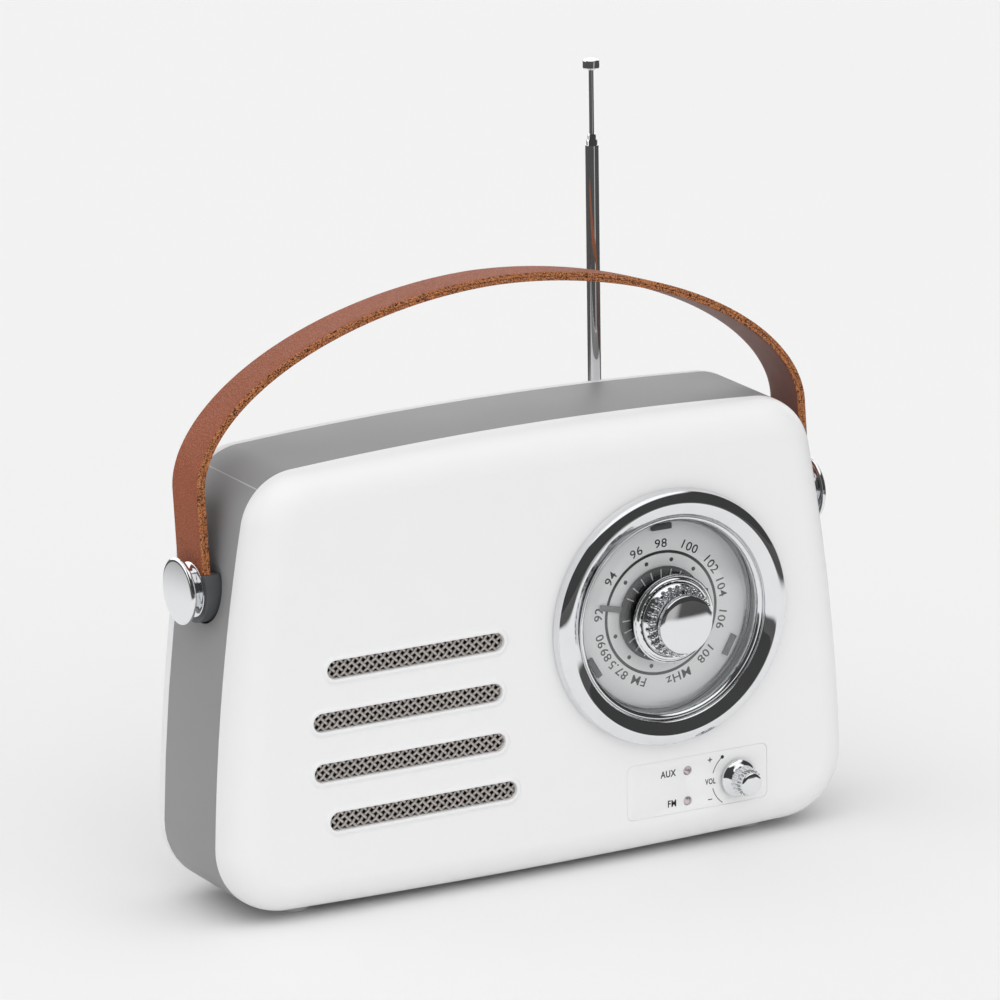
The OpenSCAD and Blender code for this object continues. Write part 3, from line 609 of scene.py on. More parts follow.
def case_outline(inset):
    """The case's outline as a chain of tangent arcs, inset and standing on its feet."""
    belly, crown = Vector((0, 4000)), Vector((0, CASE_H - 1500))
    low = Vector((105, 4000 - math.sqrt(3974**2 - 105**2)))
    top = Vector((96, crown.y + math.sqrt(1478**2 - 96**2)))
    side = circle_cross(low, 774, top, 778)

    def heading(start, end):
        return math.atan2(end.y - start.y, end.x - start.x)

    turns = [-math.pi / 2, heading(belly, low), heading(side, low), heading(side, top)]
    turns += [heading(crown, top), math.pi / 2]
    parts = [(belly, 4000, 6), (low, 26, 20), (side, 800, 12), (top, 22, 20), (crown, 1500, 10)]
    half = []
    for k, (centre, radius, steps) in enumerate(parts):
        half += arc(centre, radius - inset, turns[k], turns[k + 1], steps)
    half.append((0.0, CASE_H - inset))
    whole = half + [(-x, z) for x, z in reversed(half[1:-1])]
    return [(x, z + FOOT) for x, z in whole]


def soften(points, radius, steps=3, ends=False):
    """Rounds the corners of a profile, and those of its two ends if it is a closed loop."""
    out, n = [], len(points)
    for i, point in enumerate(points):
        if not ends and i in (0, n - 1):
            out.append(tuple(point))
            continue
        p, before, after = Vector(point), Vector(points[i - 1]), Vector(points[(i + 1) % n])
        r = min(radius, (before - p).length * 0.45, (after - p).length * 0.45)
        a, b = p + (before - p).normalized() * r, p + (after - p).normalized() * r
        for k in range(steps + 1):
            t = k / steps
            out.append(tuple(a * (1 - t) ** 2 + p * 2 * t * (1 - t) + b * t * t))
    return out


def inside(x, z, rim):
    """Whether a point lies inside a closed rim in an XZ plane."""
    hit = False
    for (ax, _, az), (bx, _, bz) in zip(rim, rim[1:] + rim[:1]):
        if (az > z) != (bz > z) and x < ax + (bx - ax) * (z - az) / (bz - az):
            hit = not hit
    return hit


class Skin:
    """Points and faces of one piece, in millimetres."""

    def __init__(self):
        self.points, self.faces, self.parts = [], [], []

    def ring(self, points):
        first = len(self.points)
        self.points += [tuple(p) for p in points]
        return list(range(first, len(self.points)))

    def face(self, corner_ids, part=0):
        self.faces.append(tuple(corner_ids))
        self.parts.append(part)

    def join(self, a, b, part=0):
        """Faces between two closed rings; a ring of one point is a pole."""
        n = max(len(a), len(b))
        for i in range(n if min(len(a), len(b)) else 0):
            j = (i + 1) % n
            quad = [a[i % len(a)], a[j % len(a)], b[j % len(b)], b[i % len(b)]]
            kept = [q for k, q in enumerate(quad) if q not in quad[:k]]
            if len(kept) > 2:
                self.face(kept, part)

    def chain(self, rings, part=0, closed=False):
        for a, b in zip(rings, rings[1:]):
            self.join(a, b, part)
        if closed:
            self.join(rings[-1], rings[0], part)

    def plate(self, loop, holes=(), part=0):
        """Flat face inside a loop. With holes it must face along Y."""
        if not holes:
            self.face(loop, part)
            return
        ids, edges = [], []
        for one in (loop, *holes):
            first, n = len(ids), len(one)
            edges += [(first + i, first + (i + 1) % n) for i in range(n)]
            ids += one
        flat = [Vector((self.points[i][0], self.points[i][2])) for i in ids]
        spots, _, faces, origins, _, _ = delaunay_2d_cdt(flat, edges, [], 1, 1e-6)
        rims = [[self.points[i] for i in one] for one in holes]
        for face in faces:
            x, z = sum((spots[k] for k in face), Vector((0, 0))) / len(face)
            if not any(inside(x, z, rim) for rim in rims):
                self.face([ids[origins[k][0]] for k in face], part)

    def turned(self, profile, centre, axis="Y", steps=96):
        """Turns a profile of (radius, along) about an axis; a radius of 0 is a pole."""
        rings = []
        for radius, along in profile:
            angles = [2 * math.pi * k / steps for k in range(steps)] if radius > 1e-4 else [0]
            spots = [(radius * math.sin(a), radius * math.cos(a)) for a in angles]
            rings.append(self.ring([along_axis(axis, centre, *spot, along) for spot in spots]))
        self.chain(rings, closed=profile[0][0] > 1e-4 or profile[-1][0] > 1e-4)

    def mesh(self, name, angle=32):
        """The mesh in metres, closed, with outward faces and soft shading below the angle."""
        mesh = bpy.data.meshes.new(name)
        mesh.from_pydata([[c * MM for c in p] for p in self.points], [], self.faces)
        for polygon, part in zip(mesh.polygons, self.parts):
            polygon.material_index = part
        return tidied(mesh, angle)


def along_axis(axis, centre, across, up, along):
    if axis == "X":
        return (along, centre[0] + across, centre[1] + up)
    if axis == "Z":
        return (centre[0] + across, centre[1] + up, along)
    return (centre[0] + across, along, centre[1] + up)


def tidied(mesh, angle, merge=1e-7):
    shape = bmesh.new()
    shape.from_mesh(mesh)
    bmesh.ops.remove_doubles(shape, verts=shape.verts, dist=merge)
    bmesh.ops.recalc_face_normals(shape, faces=shape.faces)
    shape.to_mesh(mesh)
    shape.free()
    mesh.polygons.foreach_set("use_smooth", [True] * len(mesh.polygons))
    mesh.set_sharp_from_angle(angle=math.radians(angle))
    mesh.update()
    return mesh


def add_piece(name, mesh, finishes, body, slot, replaced=()):
    """Adds a finished mesh as a piece that rides on a body and stands for CAD nodes."""
    if len(mesh.polygons) == 0:
        raise RuntimeError(f"{name} has no faces")
    piece = bpy.data.objects.new(name, mesh)
    bpy.context.scene.collection.objects.link(piece)
    if mesh.materials:
        mesh.materials.clear()
    for one in finishes:
        mesh.materials.append(finish(one))
    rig.ride(piece, body)
    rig.slot(piece, slot)
    if replaced:
        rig.replaces(piece, *replaced)
    return piece


def body_of(node):
    return frame["nodes"][node]["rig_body"]


def turned_piece(name, profiles, centre, finish_name, slot, node, axis="Y", steps=96):
    """One piece from several turned profiles, standing for a CAD node."""
    skin = Skin()
    for profile in profiles:
        skin.turned(profile, centre, axis, steps)
    return add_piece(name, skin.mesh(name), [finish_name], body_of(node), slot, [node])


def softened_copy(node, name, finish_name, slot, edge=0.25, angle=30, smooth=32, past=None):
    """A copy of a CAD node with its doubles merged and its sharp edges rounded.
    What lies further out than past moves in with the strap."""
    source = frame["nodes"][node].data
    mesh = bpy.data.meshes.new(name)
    spots = [v.co.copy() for v in source.vertices]
    for spot in spots if past else ():
        if abs(spot.x) > past * MM:
            spot.x -= math.copysign(CAD_STRAP_IN - STRAP_IN, spot.x) * MM
    mesh.from_pydata(spots, [], [tuple(p.vertices) for p in source.polygons])
    shape = bmesh.new()
    shape.from_mesh(mesh)
    bmesh.ops.remove_doubles(shape, verts=shape.verts, dist=2e-6)
    bmesh.ops.dissolve_degenerate(shape, edges=shape.edges, dist=1e-6)
    bmesh.ops.dissolve_limit(
        shape, angle_limit=math.radians(0.6), verts=shape.verts, edges=shape.edges
    )
    limit = math.radians(angle)
    sharp = [e for e in shape.edges if e.is_manifold and e.calc_face_angle(0) > limit]
    bmesh.ops.bevel(
        shape, geom=sharp, offset=edge * MM, segments=3, profile=0.5, affect="EDGES",
        clamp_overlap=True,
    )
    shape.to_mesh(mesh)
    shape.free()
    return add_piece(name, tidied(mesh, smooth), [finish_name], body_of(node), slot, [node])


def joined(meshes, name):
    """One mesh from several, which are removed."""
    shape = bmesh.new()
    for mesh in meshes:
        shape.from_mesh(mesh)
        bpy.data.meshes.remove(mesh)
    whole = bpy.data.meshes.new(name)
    shape.to_mesh(whole)
    shape.free()
    return whole


def evaluated_mesh(source):
    """Plain mesh of an object with its modifiers applied. The object is removed."""
    bpy.context.view_layer.update()
    seen = source.evaluated_get(bpy.context.evaluated_depsgraph_get())
    mesh = bpy.data.meshes.new_from_object(seen)
    data = source.data
    bpy.data.objects.remove(source)
    if isinstance(data, bpy.types.Mesh):
        bpy.data.meshes.remove(data)
    else:
        bpy.data.curves.remove(data)
    return mesh


def set_down(mesh, centre, y=0.0):
    """Moves a mesh from the origin to a centre on the front, in millimetres."""
    mesh.transform(Matrix.Translation((centre[0] * MM, y * MM, centre[1] * MM)))
    return mesh


def lettering(text, height, centre, y, turn=0.0, bold=0.0, squeeze=1.0, align="CENTER"):
    """Flat printed text that faces the front, turned clockwise by turn degrees."""
    curve = bpy.data.curves.new("lettering", "FONT")
    curve.body, curve.align_x, curve.resolution_u = text, "LEFT", 4
    curve.extrude, curve.offset, curve.space_character = 0.5, bold, 1.08
    source = bpy.data.objects.new("lettering", curve)
    bpy.context.scene.collection.objects.link(source)
    mesh = evaluated_mesh(source)
    xs, ys = [v.co.x for v in mesh.vertices], [v.co.y for v in mesh.vertices]
    scale = height / (max(ys) - min(ys)) * MM
    anchor = {"CENTER": (min(xs) + max(xs)) / 2, "RIGHT": max(xs), "LEFT": min(xs)}[align]
    mesh.transform(Matrix.Translation((-anchor, -(min(ys) + max(ys)) / 2, 0)))
    mesh.transform(Matrix.Diagonal((scale * squeeze, scale, INK * MM, 1)))
    mesh.transform(Matrix.Rotation(math.pi / 2, 4, "X"))
    mesh.transform(Matrix.Rotation(math.radians(turn), 4, "Y"))
    return tidied(set_down(mesh, centre, y - INK / 2), 30)


class Pattern(Nodes):
    """A Geometry Nodes tree that repeats a piece, with named inputs."""

    kinds = {"Piece": "Object", "Count": "Int", "Finish": "Material", "Geometry": "Geometry"}

    def __init__(self, name, *inputs):
        super().__init__(bpy.data.node_groups.new(name, "GeometryNodeTree"))
        face = self.tree.interface
        face.new_socket(name="Geometry", in_out="OUTPUT", socket_type="NodeSocketGeometry")
        for key in ("Geometry", *inputs, "Finish"):
            kind = "NodeSocket" + self.kinds.get(key, "Float")
            face.new_socket(name=key, in_out="INPUT", socket_type=kind)
        first = self.tree.nodes.new("NodeGroupInput")
        self.given = {socket.name: Value(self, socket) for socket in first.outputs[:-1]}

    def repeat(self, points, rotation):
        """Copies the piece onto the points, makes the copies real and gives them the finish."""
        piece = self.add(
            "GeometryNodeObjectInfo", sockets={"Object": self.given["Piece"]}, out="Geometry"
        )
        copies = self.add(
            "GeometryNodeInstanceOnPoints",
            sockets={"Points": points, "Instance": piece, "Rotation": rotation},
        )
        real = self.add("GeometryNodeRealizeInstances", sockets={0: copies})
        done = self.add(
            "GeometryNodeSetMaterial", sockets={0: real, "Material": self.given["Finish"]}
        )
        self.add("NodeGroupOutput", sockets={0: done})

    def run(self, unit, finish_name, points=(), **values):
        """Plain mesh of the pattern with this unit mesh, finish and inputs."""
        piece = bpy.data.objects.new("unit", unit)
        base = bpy.data.meshes.new("base")
        base.from_pydata([[c * MM for c in p] for p in points], [], [])
        holder = bpy.data.objects.new("holder", base)
        for one in (piece, holder):
            bpy.context.scene.collection.objects.link(one)
        modifier = holder.modifiers.new("pattern", "NODES")
        modifier.node_group = self.tree
        given = {"Piece": piece, "Finish": finish(finish_name), **values}
        for item in self.tree.interface.items_tree:
            if item.in_out == "INPUT" and item.name in given:
                modifier[item.identifier] = given[item.name]
        mesh = evaluated_mesh(holder)
        bpy.data.objects.remove(piece)
        return mesh


def ring_pattern():
    """Copies round the Y axis: First and Step are clockwise angles seen from the front."""
    p = Pattern("ring_of_copies", "Piece", "Count", "Radius", "First", "Step")
    index = p.add("GeometryNodeInputIndex")
    angle = p.given["First"] + p.given["Step"] * index
    x = angle.math("SINE") * p.given["Radius"]
    z = angle.math("COSINE") * p.given["Radius"]
    place = p.add("ShaderNodeCombineXYZ", sockets={0: x, 1: 0.0, 2: z})
    turn = p.add("ShaderNodeCombineXYZ", sockets={0: 0.0, 1: angle, 2: 0.0})
    sockets = {"Count": p.given["Count"], "Position": place}
    p.repeat(p.add("GeometryNodePoints", sockets=sockets), turn)
    return p


def ring_of(unit, finish_name, count, radius, centre, first=0.0, step=None):
    """Copies of a unit mesh set in a ring round a centre on the front, as one mesh."""
    step = 2 * math.pi / count if step is None else step
    values = {"Count": count, "Radius": radius * MM, "First": first, "Step": step}
    return set_down(ring_pattern().run(unit, finish_name, **values), centre)


def spot_pattern():
    """Copies at given points."""
    p = Pattern("copies_at_points", "Piece")
    p.repeat(p.given["Geometry"], (0.0, 0.0, 0.0))
    return p


def weave_pattern():
    """Two sets of crossing wires in a strip with round ends, from a unit with one crossing."""
    p = Pattern("woven_strip", "Piece", "Count", "Pitch", "Half", "Reach")
    count, pitch = p.given["Count"], p.given["Pitch"]
    size = (count - 1) * pitch
    grid = p.add(
        "GeometryNodeMeshGrid",
        sockets={"Size X": size, "Size Y": size, "Vertices X": count, "Vertices Y": count},
    )
    index = p.add("GeometryNodeInputIndex")
    odd = ((index / count).math("FLOOR") + index % count) % 2
    turn = odd * (math.pi / 2) + math.pi / 4
    kept = p.add(
        "GeometryNodeStoreNamedAttribute",
        {"data_type": "FLOAT", "domain": "POINT"},
        {"Geometry": grid, "Name": "turn", "Value": turn},
    )
    tilted = p.add(
        "GeometryNodeTransform", sockets={"Geometry": kept, "Rotation": (0, 0, math.pi / 4)}
    )
    x, y, _ = p.add("GeometryNodeInputPosition").xyz()
    out_x = (abs(x) - p.given["Half"]).math("MAXIMUM", 0.0)
    gone = (out_x * out_x + y * y).math("SQRT") > p.given["Reach"]
    left = p.add(
        "GeometryNodeDeleteGeometry", {"domain": "POINT"}, {"Geometry": tilted, "Selection": gone}
    )
    named = p.add("GeometryNodeInputNamedAttribute", {"data_type": "FLOAT"}, {"Name": "turn"})
    p.repeat(left, p.add("ShaderNodeCombineXYZ", sockets={0: 0.0, 1: 0.0, 2: named}))
    return p


# ---- Settings ----


class RadioStage(bpy.types.PropertyGroup):
    top_light: FloatProperty(
        name="Top light", description="Brightness overhead", default=0.54, min=0
    )
    front_light: FloatProperty(
        name="Front light", description="Brightness of the front softbox", default=0.92, min=0
    )
    room_light: FloatProperty(
        name="Room light", description="Brightness from all round", default=0.37, min=0
    )
    lens: FloatProperty(
        name="Lens", description="Focal length of the camera, in millimetres", default=288, min=20
    )


class RadioCase(bpy.types.PropertyGroup):
    shell_colour: FloatVectorProperty(
        name="Shells", description="Colour of the two shells", subtype="COLOR",
        default=(0.84, 0.84, 0.845), min=0, max=1,
    )
    shell_gloss: FloatProperty(
        name="Shell roughness", description="Roughness of the shells", default=0.4, min=0, max=1
    )
    band_colour: FloatVectorProperty(
        name="Band", description="Colour of the band between the shells", subtype="COLOR",
        default=(0.27, 0.27, 0.275), min=0, max=1,
    )
    mesh_pitch: FloatProperty(
        name="Mesh pitch", description="Distance between the grille's wires", subtype="DISTANCE",
        default=0.00228, min=0.001, max=0.006,
    )


class RadioDial(bpy.types.PropertyGroup):
    number_height: FloatProperty(
        name="Number height", description="Height of the numbers", subtype="DISTANCE",
        default=0.0034, min=0.001, max=0.006,
    )
    knob_beads: IntProperty(
        name="Knob beads", description="Beads round the tuning knob", default=26, min=8, max=40
    )
    pointer: FloatProperty(
        name="Pointer", description="Clockwise angle of the pointer from the top",
        subtype="ANGLE", unit="ROTATION", default=math.radians(-77),
    )


class RadioHandle(bpy.types.PropertyGroup):
    leather_colour: FloatVectorProperty(
        name="Leather", description="Colour of the strap's outer side", subtype="COLOR",
        default=(0.345, 0.092, 0.036), min=0, max=1,
    )
    width: FloatProperty(
        name="Strap width", description="Width of the strap", subtype="DISTANCE",
        default=0.0206, min=0.01, max=0.03,
    )
    thickness: FloatProperty(
        name="Strap thickness", description="Thickness of the strap", subtype="DISTANCE",
        default=0.0033, min=0.002, max=0.005,
    )


# ---- Operators ----


class RADIO_OT_stage(bpy.types.Operator):
    """Add the pale floor, the soft studio light and the camera"""

    bl_idname = "radio.stage"
    bl_label = "Stage"

    def execute(self, context):
        shown = context.scene.radio_stage
        skin = Skin()
        size = 20000
        low = skin.ring([(-size, -size, 0), (size, -size, 0), (size, size, 0), (-size, size, 0)])
        skin.face(low)
        mesh = skin.mesh("floor")
        mesh.materials.append(finish("studio_floor"))
        floor = bpy.data.objects.new("floor", mesh)
        context.scene.collection.objects.link(floor)
        if mesh.polygons[0].normal.z < 0:
            mesh.flip_normals()
        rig.stage(floor)
        self.light(context, shown)
        self.camera(context, shown)
        context.scene.view_settings.view_transform = "Standard"
        return {"FINISHED"}

    @staticmethod
    def light(context, shown):
        """Soft light from all round, with a dark surround that only mirrors see."""
        world = bpy.data.worlds.new("studio")
        world.use_nodes = True
        context.scene.world = world
        n = Nodes(world.node_tree)
        x, y, z = n.add("ShaderNodeTexCoord", out="Generated").xyz()
        top = z.between(0.6, 0.85) * shown.top_light
        front = (z * 0.6 - y * 0.8).between(0.55, 0.95) * shown.front_light
        left = (z * 0.44 - x * 0.9).between(0.5, 0.95) * 0.46
        back = y.between(0.5, 0.9) * 0.34
        soft = top + front + left + back + shown.room_light
        sheet = y.between(0.1, 0.35) * (1 - z.between(0.6, 0.75))
        mirrored = z.between(0.74, 0.82) * 1.1 + sheet * 1.4 + 0.05
        glossy = n.add("ShaderNodeLightPath", out="Is Glossy Ray")
        bright = soft * (1 - glossy) + mirrored * glossy
        back = n.add("ShaderNodeBackground", sockets={0: (1, 1, 1, 1), 1: bright})
        n.add("ShaderNodeOutputWorld", sockets={0: back})

    @staticmethod
    def camera(context, shown):
        turn, tilt, roll = (math.radians(a) for a in (-28.706, 15.668, -0.837))
        right = Vector((math.cos(turn), math.sin(turn), 0))
        ahead = Vector(
            (
                -math.sin(turn) * math.cos(tilt),
                math.cos(turn) * math.cos(tilt),
                -math.sin(tilt),
            )
        )
        up = right.cross(ahead)
        across = math.cos(roll) * right + math.sin(roll) * up
        upright = math.cos(roll) * up - math.sin(roll) * right
        data = bpy.data.cameras.new("camera")
        data.lens, data.sensor_width, data.clip_end = shown.lens, 36, 60
        camera = bpy.data.objects.new("camera", data)
        context.scene.collection.objects.link(camera)
        axes = Matrix((across, upright, -ahead)).transposed().to_4x4()
        camera.matrix_world = Matrix.Translation((-1.3649, -2.4898, 0.9353)) @ axes
        context.scene.camera = camera


def shell_mesh(side, name, openings, extra=()):
    """A shell that rounds off to a flat face; side is -1 for the front and 1 for the rear.
    An opening is rings of (outline, depth) from the face inwards, then openings in its floor."""
    seam, end = (SEAM, FACE) if side < 0 else (REAR_SEAM, BACK)
    skin = Skin()

    def ring(points, y):
        return skin.ring([(x, y, z) for x, z in points])

    def rounding(start, stop_y, first):
        rings = []
        for i in range(first, 19):
            a = math.pi / 2 * i / 18
            inset = start + (EDGE - start) * (1 - max(0, math.cos(a)) ** EDGE_POWER)
            inset *= 1 - 0.1 * (inset / EDGE) ** 6
            y = seam + (stop_y - seam) * math.sin(a) ** EDGE_POWER
            rings.append(ring(case_outline(inset), y))
        return rings

    outer = [ring(case_outline(0.22), seam), ring(case_outline(0), seam + side * 0.22)]
    outer += rounding(0, end, 1)
    outer.append(ring(case_outline(EDGE * 0.9 + 0.35), end))
    inner = rounding(WALL, end - side * WALL, 0)
    skin.chain(outer)
    skin.chain(inner)
    skin.join(outer[0], inner[0])

    def cut(opening):
        rings, floor = opening
        ids = [ring(points, end - side * depth) for points, depth in rings]
        skin.chain(ids)
        if not floor:
            return ids[0], [ids[-1]]
        below = [cut(one) for one in floor]
        skin.plate(ids[-1], [top for top, _ in below])
        return ids[0], [low for _, lows in below for low in lows]

    made = [cut(one) for one in openings]
    skin.plate(outer[-1], [top for top, _ in made])
    skin.plate(inner[-1], [low for _, lows in made for low in lows])
    for profile, centre in extra:
        skin.turned(profile, centre, steps=32)
    return skin.mesh(name, 34)


def edged(outline, edge=0.25, depth=WALL, floor=()):
    """Opening with a small rounded edge: outline is a function of how far it is grown."""
    steps = [(edge, 0), (edge * 0.45, 0.12), (edge * 0.12, 0.45), (0, 1)]
    rings = [(outline(edge + 0.25), 0.0)] + [(outline(g), edge * d) for g, d in steps]
    return [*rings, (outline(0), depth)], list(floor)


def box_hole(node, margin, radius, steps):
    """Outline round a CAD node with a margin, or inside it when the margin is negative."""
    low, high = corners(node)
    x0, x1, z0, z1 = low.x - margin, high.x + margin, low.z - margin, high.z + margin
    return lambda grow: bar(x0, x1, z0, z1, radius, grow, steps)


def through(outline, start):
    return [(outline(0), start), (outline(0), WALL)], []


def round_hole(centre, radius, steps=40):
    return lambda grow: circle(centre, radius + grow, steps)


class RADIO_OT_case(bpy.types.Operator):
    """Build the two white shells, the grey band and the battery door"""

    bl_idname = "radio.case"
    bl_label = "Case"

    def execute(self, context):
        self.front()
        self.rear()
        softened_copy("middle_band", "band_body", "band_plastic", "grey_band", 0.18, 45, 20)
        softened_copy("battery_door", "battery_cover", "white_plastic", "white_shell", 0.3)
        return {"FINISHED"}

    @staticmethod
    def front():
        openings = []
        lip = [(2.6, 0), (2.1, 0), (1.8, -0.1), (1.5, -0.32), (1.15, -0.56), (0.8, -0.68)]
        lip += [(0.5, -0.7), (0.25, -0.6), (0.07, -0.42), (0, -0.1), (0, WALL)]
        for x0, x1, z in SLOTS:
            half = SLOT_H / 2
            rings = [(bar(x0, x1, z - half, z + half, half - 0.001, g, 16), d) for g, d in lip]
            openings.append((rings, []))
        openings.append(edged(round_hole(DIAL, 41, 96)))
        led_x, led_r, sunk = middle("led_upper").x, 1.9, 0.8
        holes = [round_hole(VOLUME, 4)]
        holes += [round_hole((led_x, middle(n).z), led_r) for n in LAMPS]
        floor = [through(hole, sunk) for hole in holes]
        openings.append(edged(box_hole("control_panel", 0.2, 2.5, 8), 0.22, sunk, floor))
        deep = BACK - WALL
        post = [(0, FACE + WALL - 0.4), (4, FACE + WALL - 0.4), (4, deep), (1.25, deep)]
        post += [(1.25, deep - 12), (0, deep - 12)]
        mesh = shell_mesh(-1, "front_cover", openings, [(post, p) for p in POSTS])
        add_piece("front_cover", mesh, ["white_plastic"], "case", "white_shell", ["front_shell"])

    @staticmethod
    def rear():
        deep, bay = 2, box_hole("battery_door", -2.65, 0.6, 3)
        openings = [edged(box_hole("battery_door", 0.35, 2.2, 6), 0.25, deep, [through(bay, deep)])]
        for post in POSTS:
            floor = [through(round_hole(post, 1.7, 24), 1.4)]
            openings.append(edged(round_hole(post, 3.2), 0.2, 1.4, floor))
        for node in ("power_jack", "aux_jack"):
            low, high = corners(node)
            openings.append(edged(round_hole(front_of(node), (high.x - low.x) / 2)))
        openings += [edged(round_hole(front_of(node), 3.95)) for node in KEYS]
        openings.append(edged(round_hole(front_of("aerial_base"), 3.05), 0.15))
        openings.append(edged(box_hole("usb_port", 0.5, 0.5, 4)))
        z = middle("power_jack").z
        openings.append(edged(lambda grow: bar(-56.5, -47.5, z - 2.5, z + 2.5, 0.4, grow, 4)))
        for i in range(12):
            x = -88 + 5.6 * i

            def vent(grow, x=x):
                return bar(x - 1.1, x + 1.1, FOOT + 98, FOOT + 122, 1.099, grow, 6)

            openings.append(edged(vent, 0.3))
        mesh = shell_mesh(1, "rear_cover", openings)
        add_piece("rear_cover", mesh, ["white_plastic"], "case", "white_shell", ["rear_shell"])


class RADIO_OT_grille(bpy.types.Operator):
    """Weave the metal mesh that shows in the four slots"""

    bl_idname = "radio.grille"
    bl_label = "Grille"

    def execute(self, context):
        pitch = context.scene.radio_case.mesh_pitch / MM
        weave = weave_pattern()
        strips, reach = [], SLOT_H / 2 + 0.9
        for x0, x1, z in SLOTS:
            half = (x1 - x0 - SLOT_H) / 2
            count = int((x1 - x0 + 14) / pitch)
            values = {"Count": count, "Pitch": pitch * MM, "Half": half * MM, "Reach": reach * MM}
            strip = weave.run(self.crossing(pitch), "grille_metal", **values)
            strip.transform(Matrix.Rotation(math.pi / 2, 4, "X"))
            strips.append(set_down(strip, ((x0 + x1) / 2, z), MESH_Y))
        mesh = tidied(joined(strips, "woven_mesh"), 60, 2e-6)
        grille = ["speaker_grille"]
        add_piece("woven_mesh", mesh, ["grille_metal"], "case", "grille_mesh", grille)
        low, high = corners("speaker_grille")
        skin = Skin()
        loops = [(0.3, low.y + 0.35), (0, low.y + 0.45), (0, high.y - 0.05), (0.3, high.y)]
        rings = [
            skin.ring([(x, y, z) for x, z in bar(low.x, high.x, low.z, high.z, 3, -inset, 4)])
            for inset, y in loops
        ]
        skin.chain(rings)
        skin.plate(rings[0])
        skin.plate(rings[-1])
        cloth = skin.mesh("dust_cloth")
        add_piece("dust_cloth", cloth, ["dust_cloth"], "case", "grille_mesh", grille)
        return {"FINISHED"}

    @staticmethod
    def crossing(pitch):
        """One flattened wire over another, each half a pitch long to both sides."""
        skin = Skin()
        wide, thick, lift, steps, sides = 0.5, 0.26, 0.36, 6, 8
        for way, over in ((0, 1), (1, -1)):
            rings = []
            for i in range(steps + 1):
                along = (i / steps - 0.5) * pitch
                height = over * lift * math.cos(math.pi * along / pitch) ** 2
                ring = []
                for k in range(sides):
                    a = 2 * math.pi * k / sides
                    across, up = wide * math.cos(a), height + thick * math.sin(a)
                    ring.append((along, across, up) if way == 0 else (across, along, up))
                rings.append(skin.ring(ring))
            skin.chain(rings)
            skin.face(rings[0])
            skin.face(rings[-1])
        return skin.mesh("crossing", 50)


def dial_profile(points):
    """Profile given as (radius, distance in front of the case face)."""
    return [(r, FACE - out) for r, out in points]


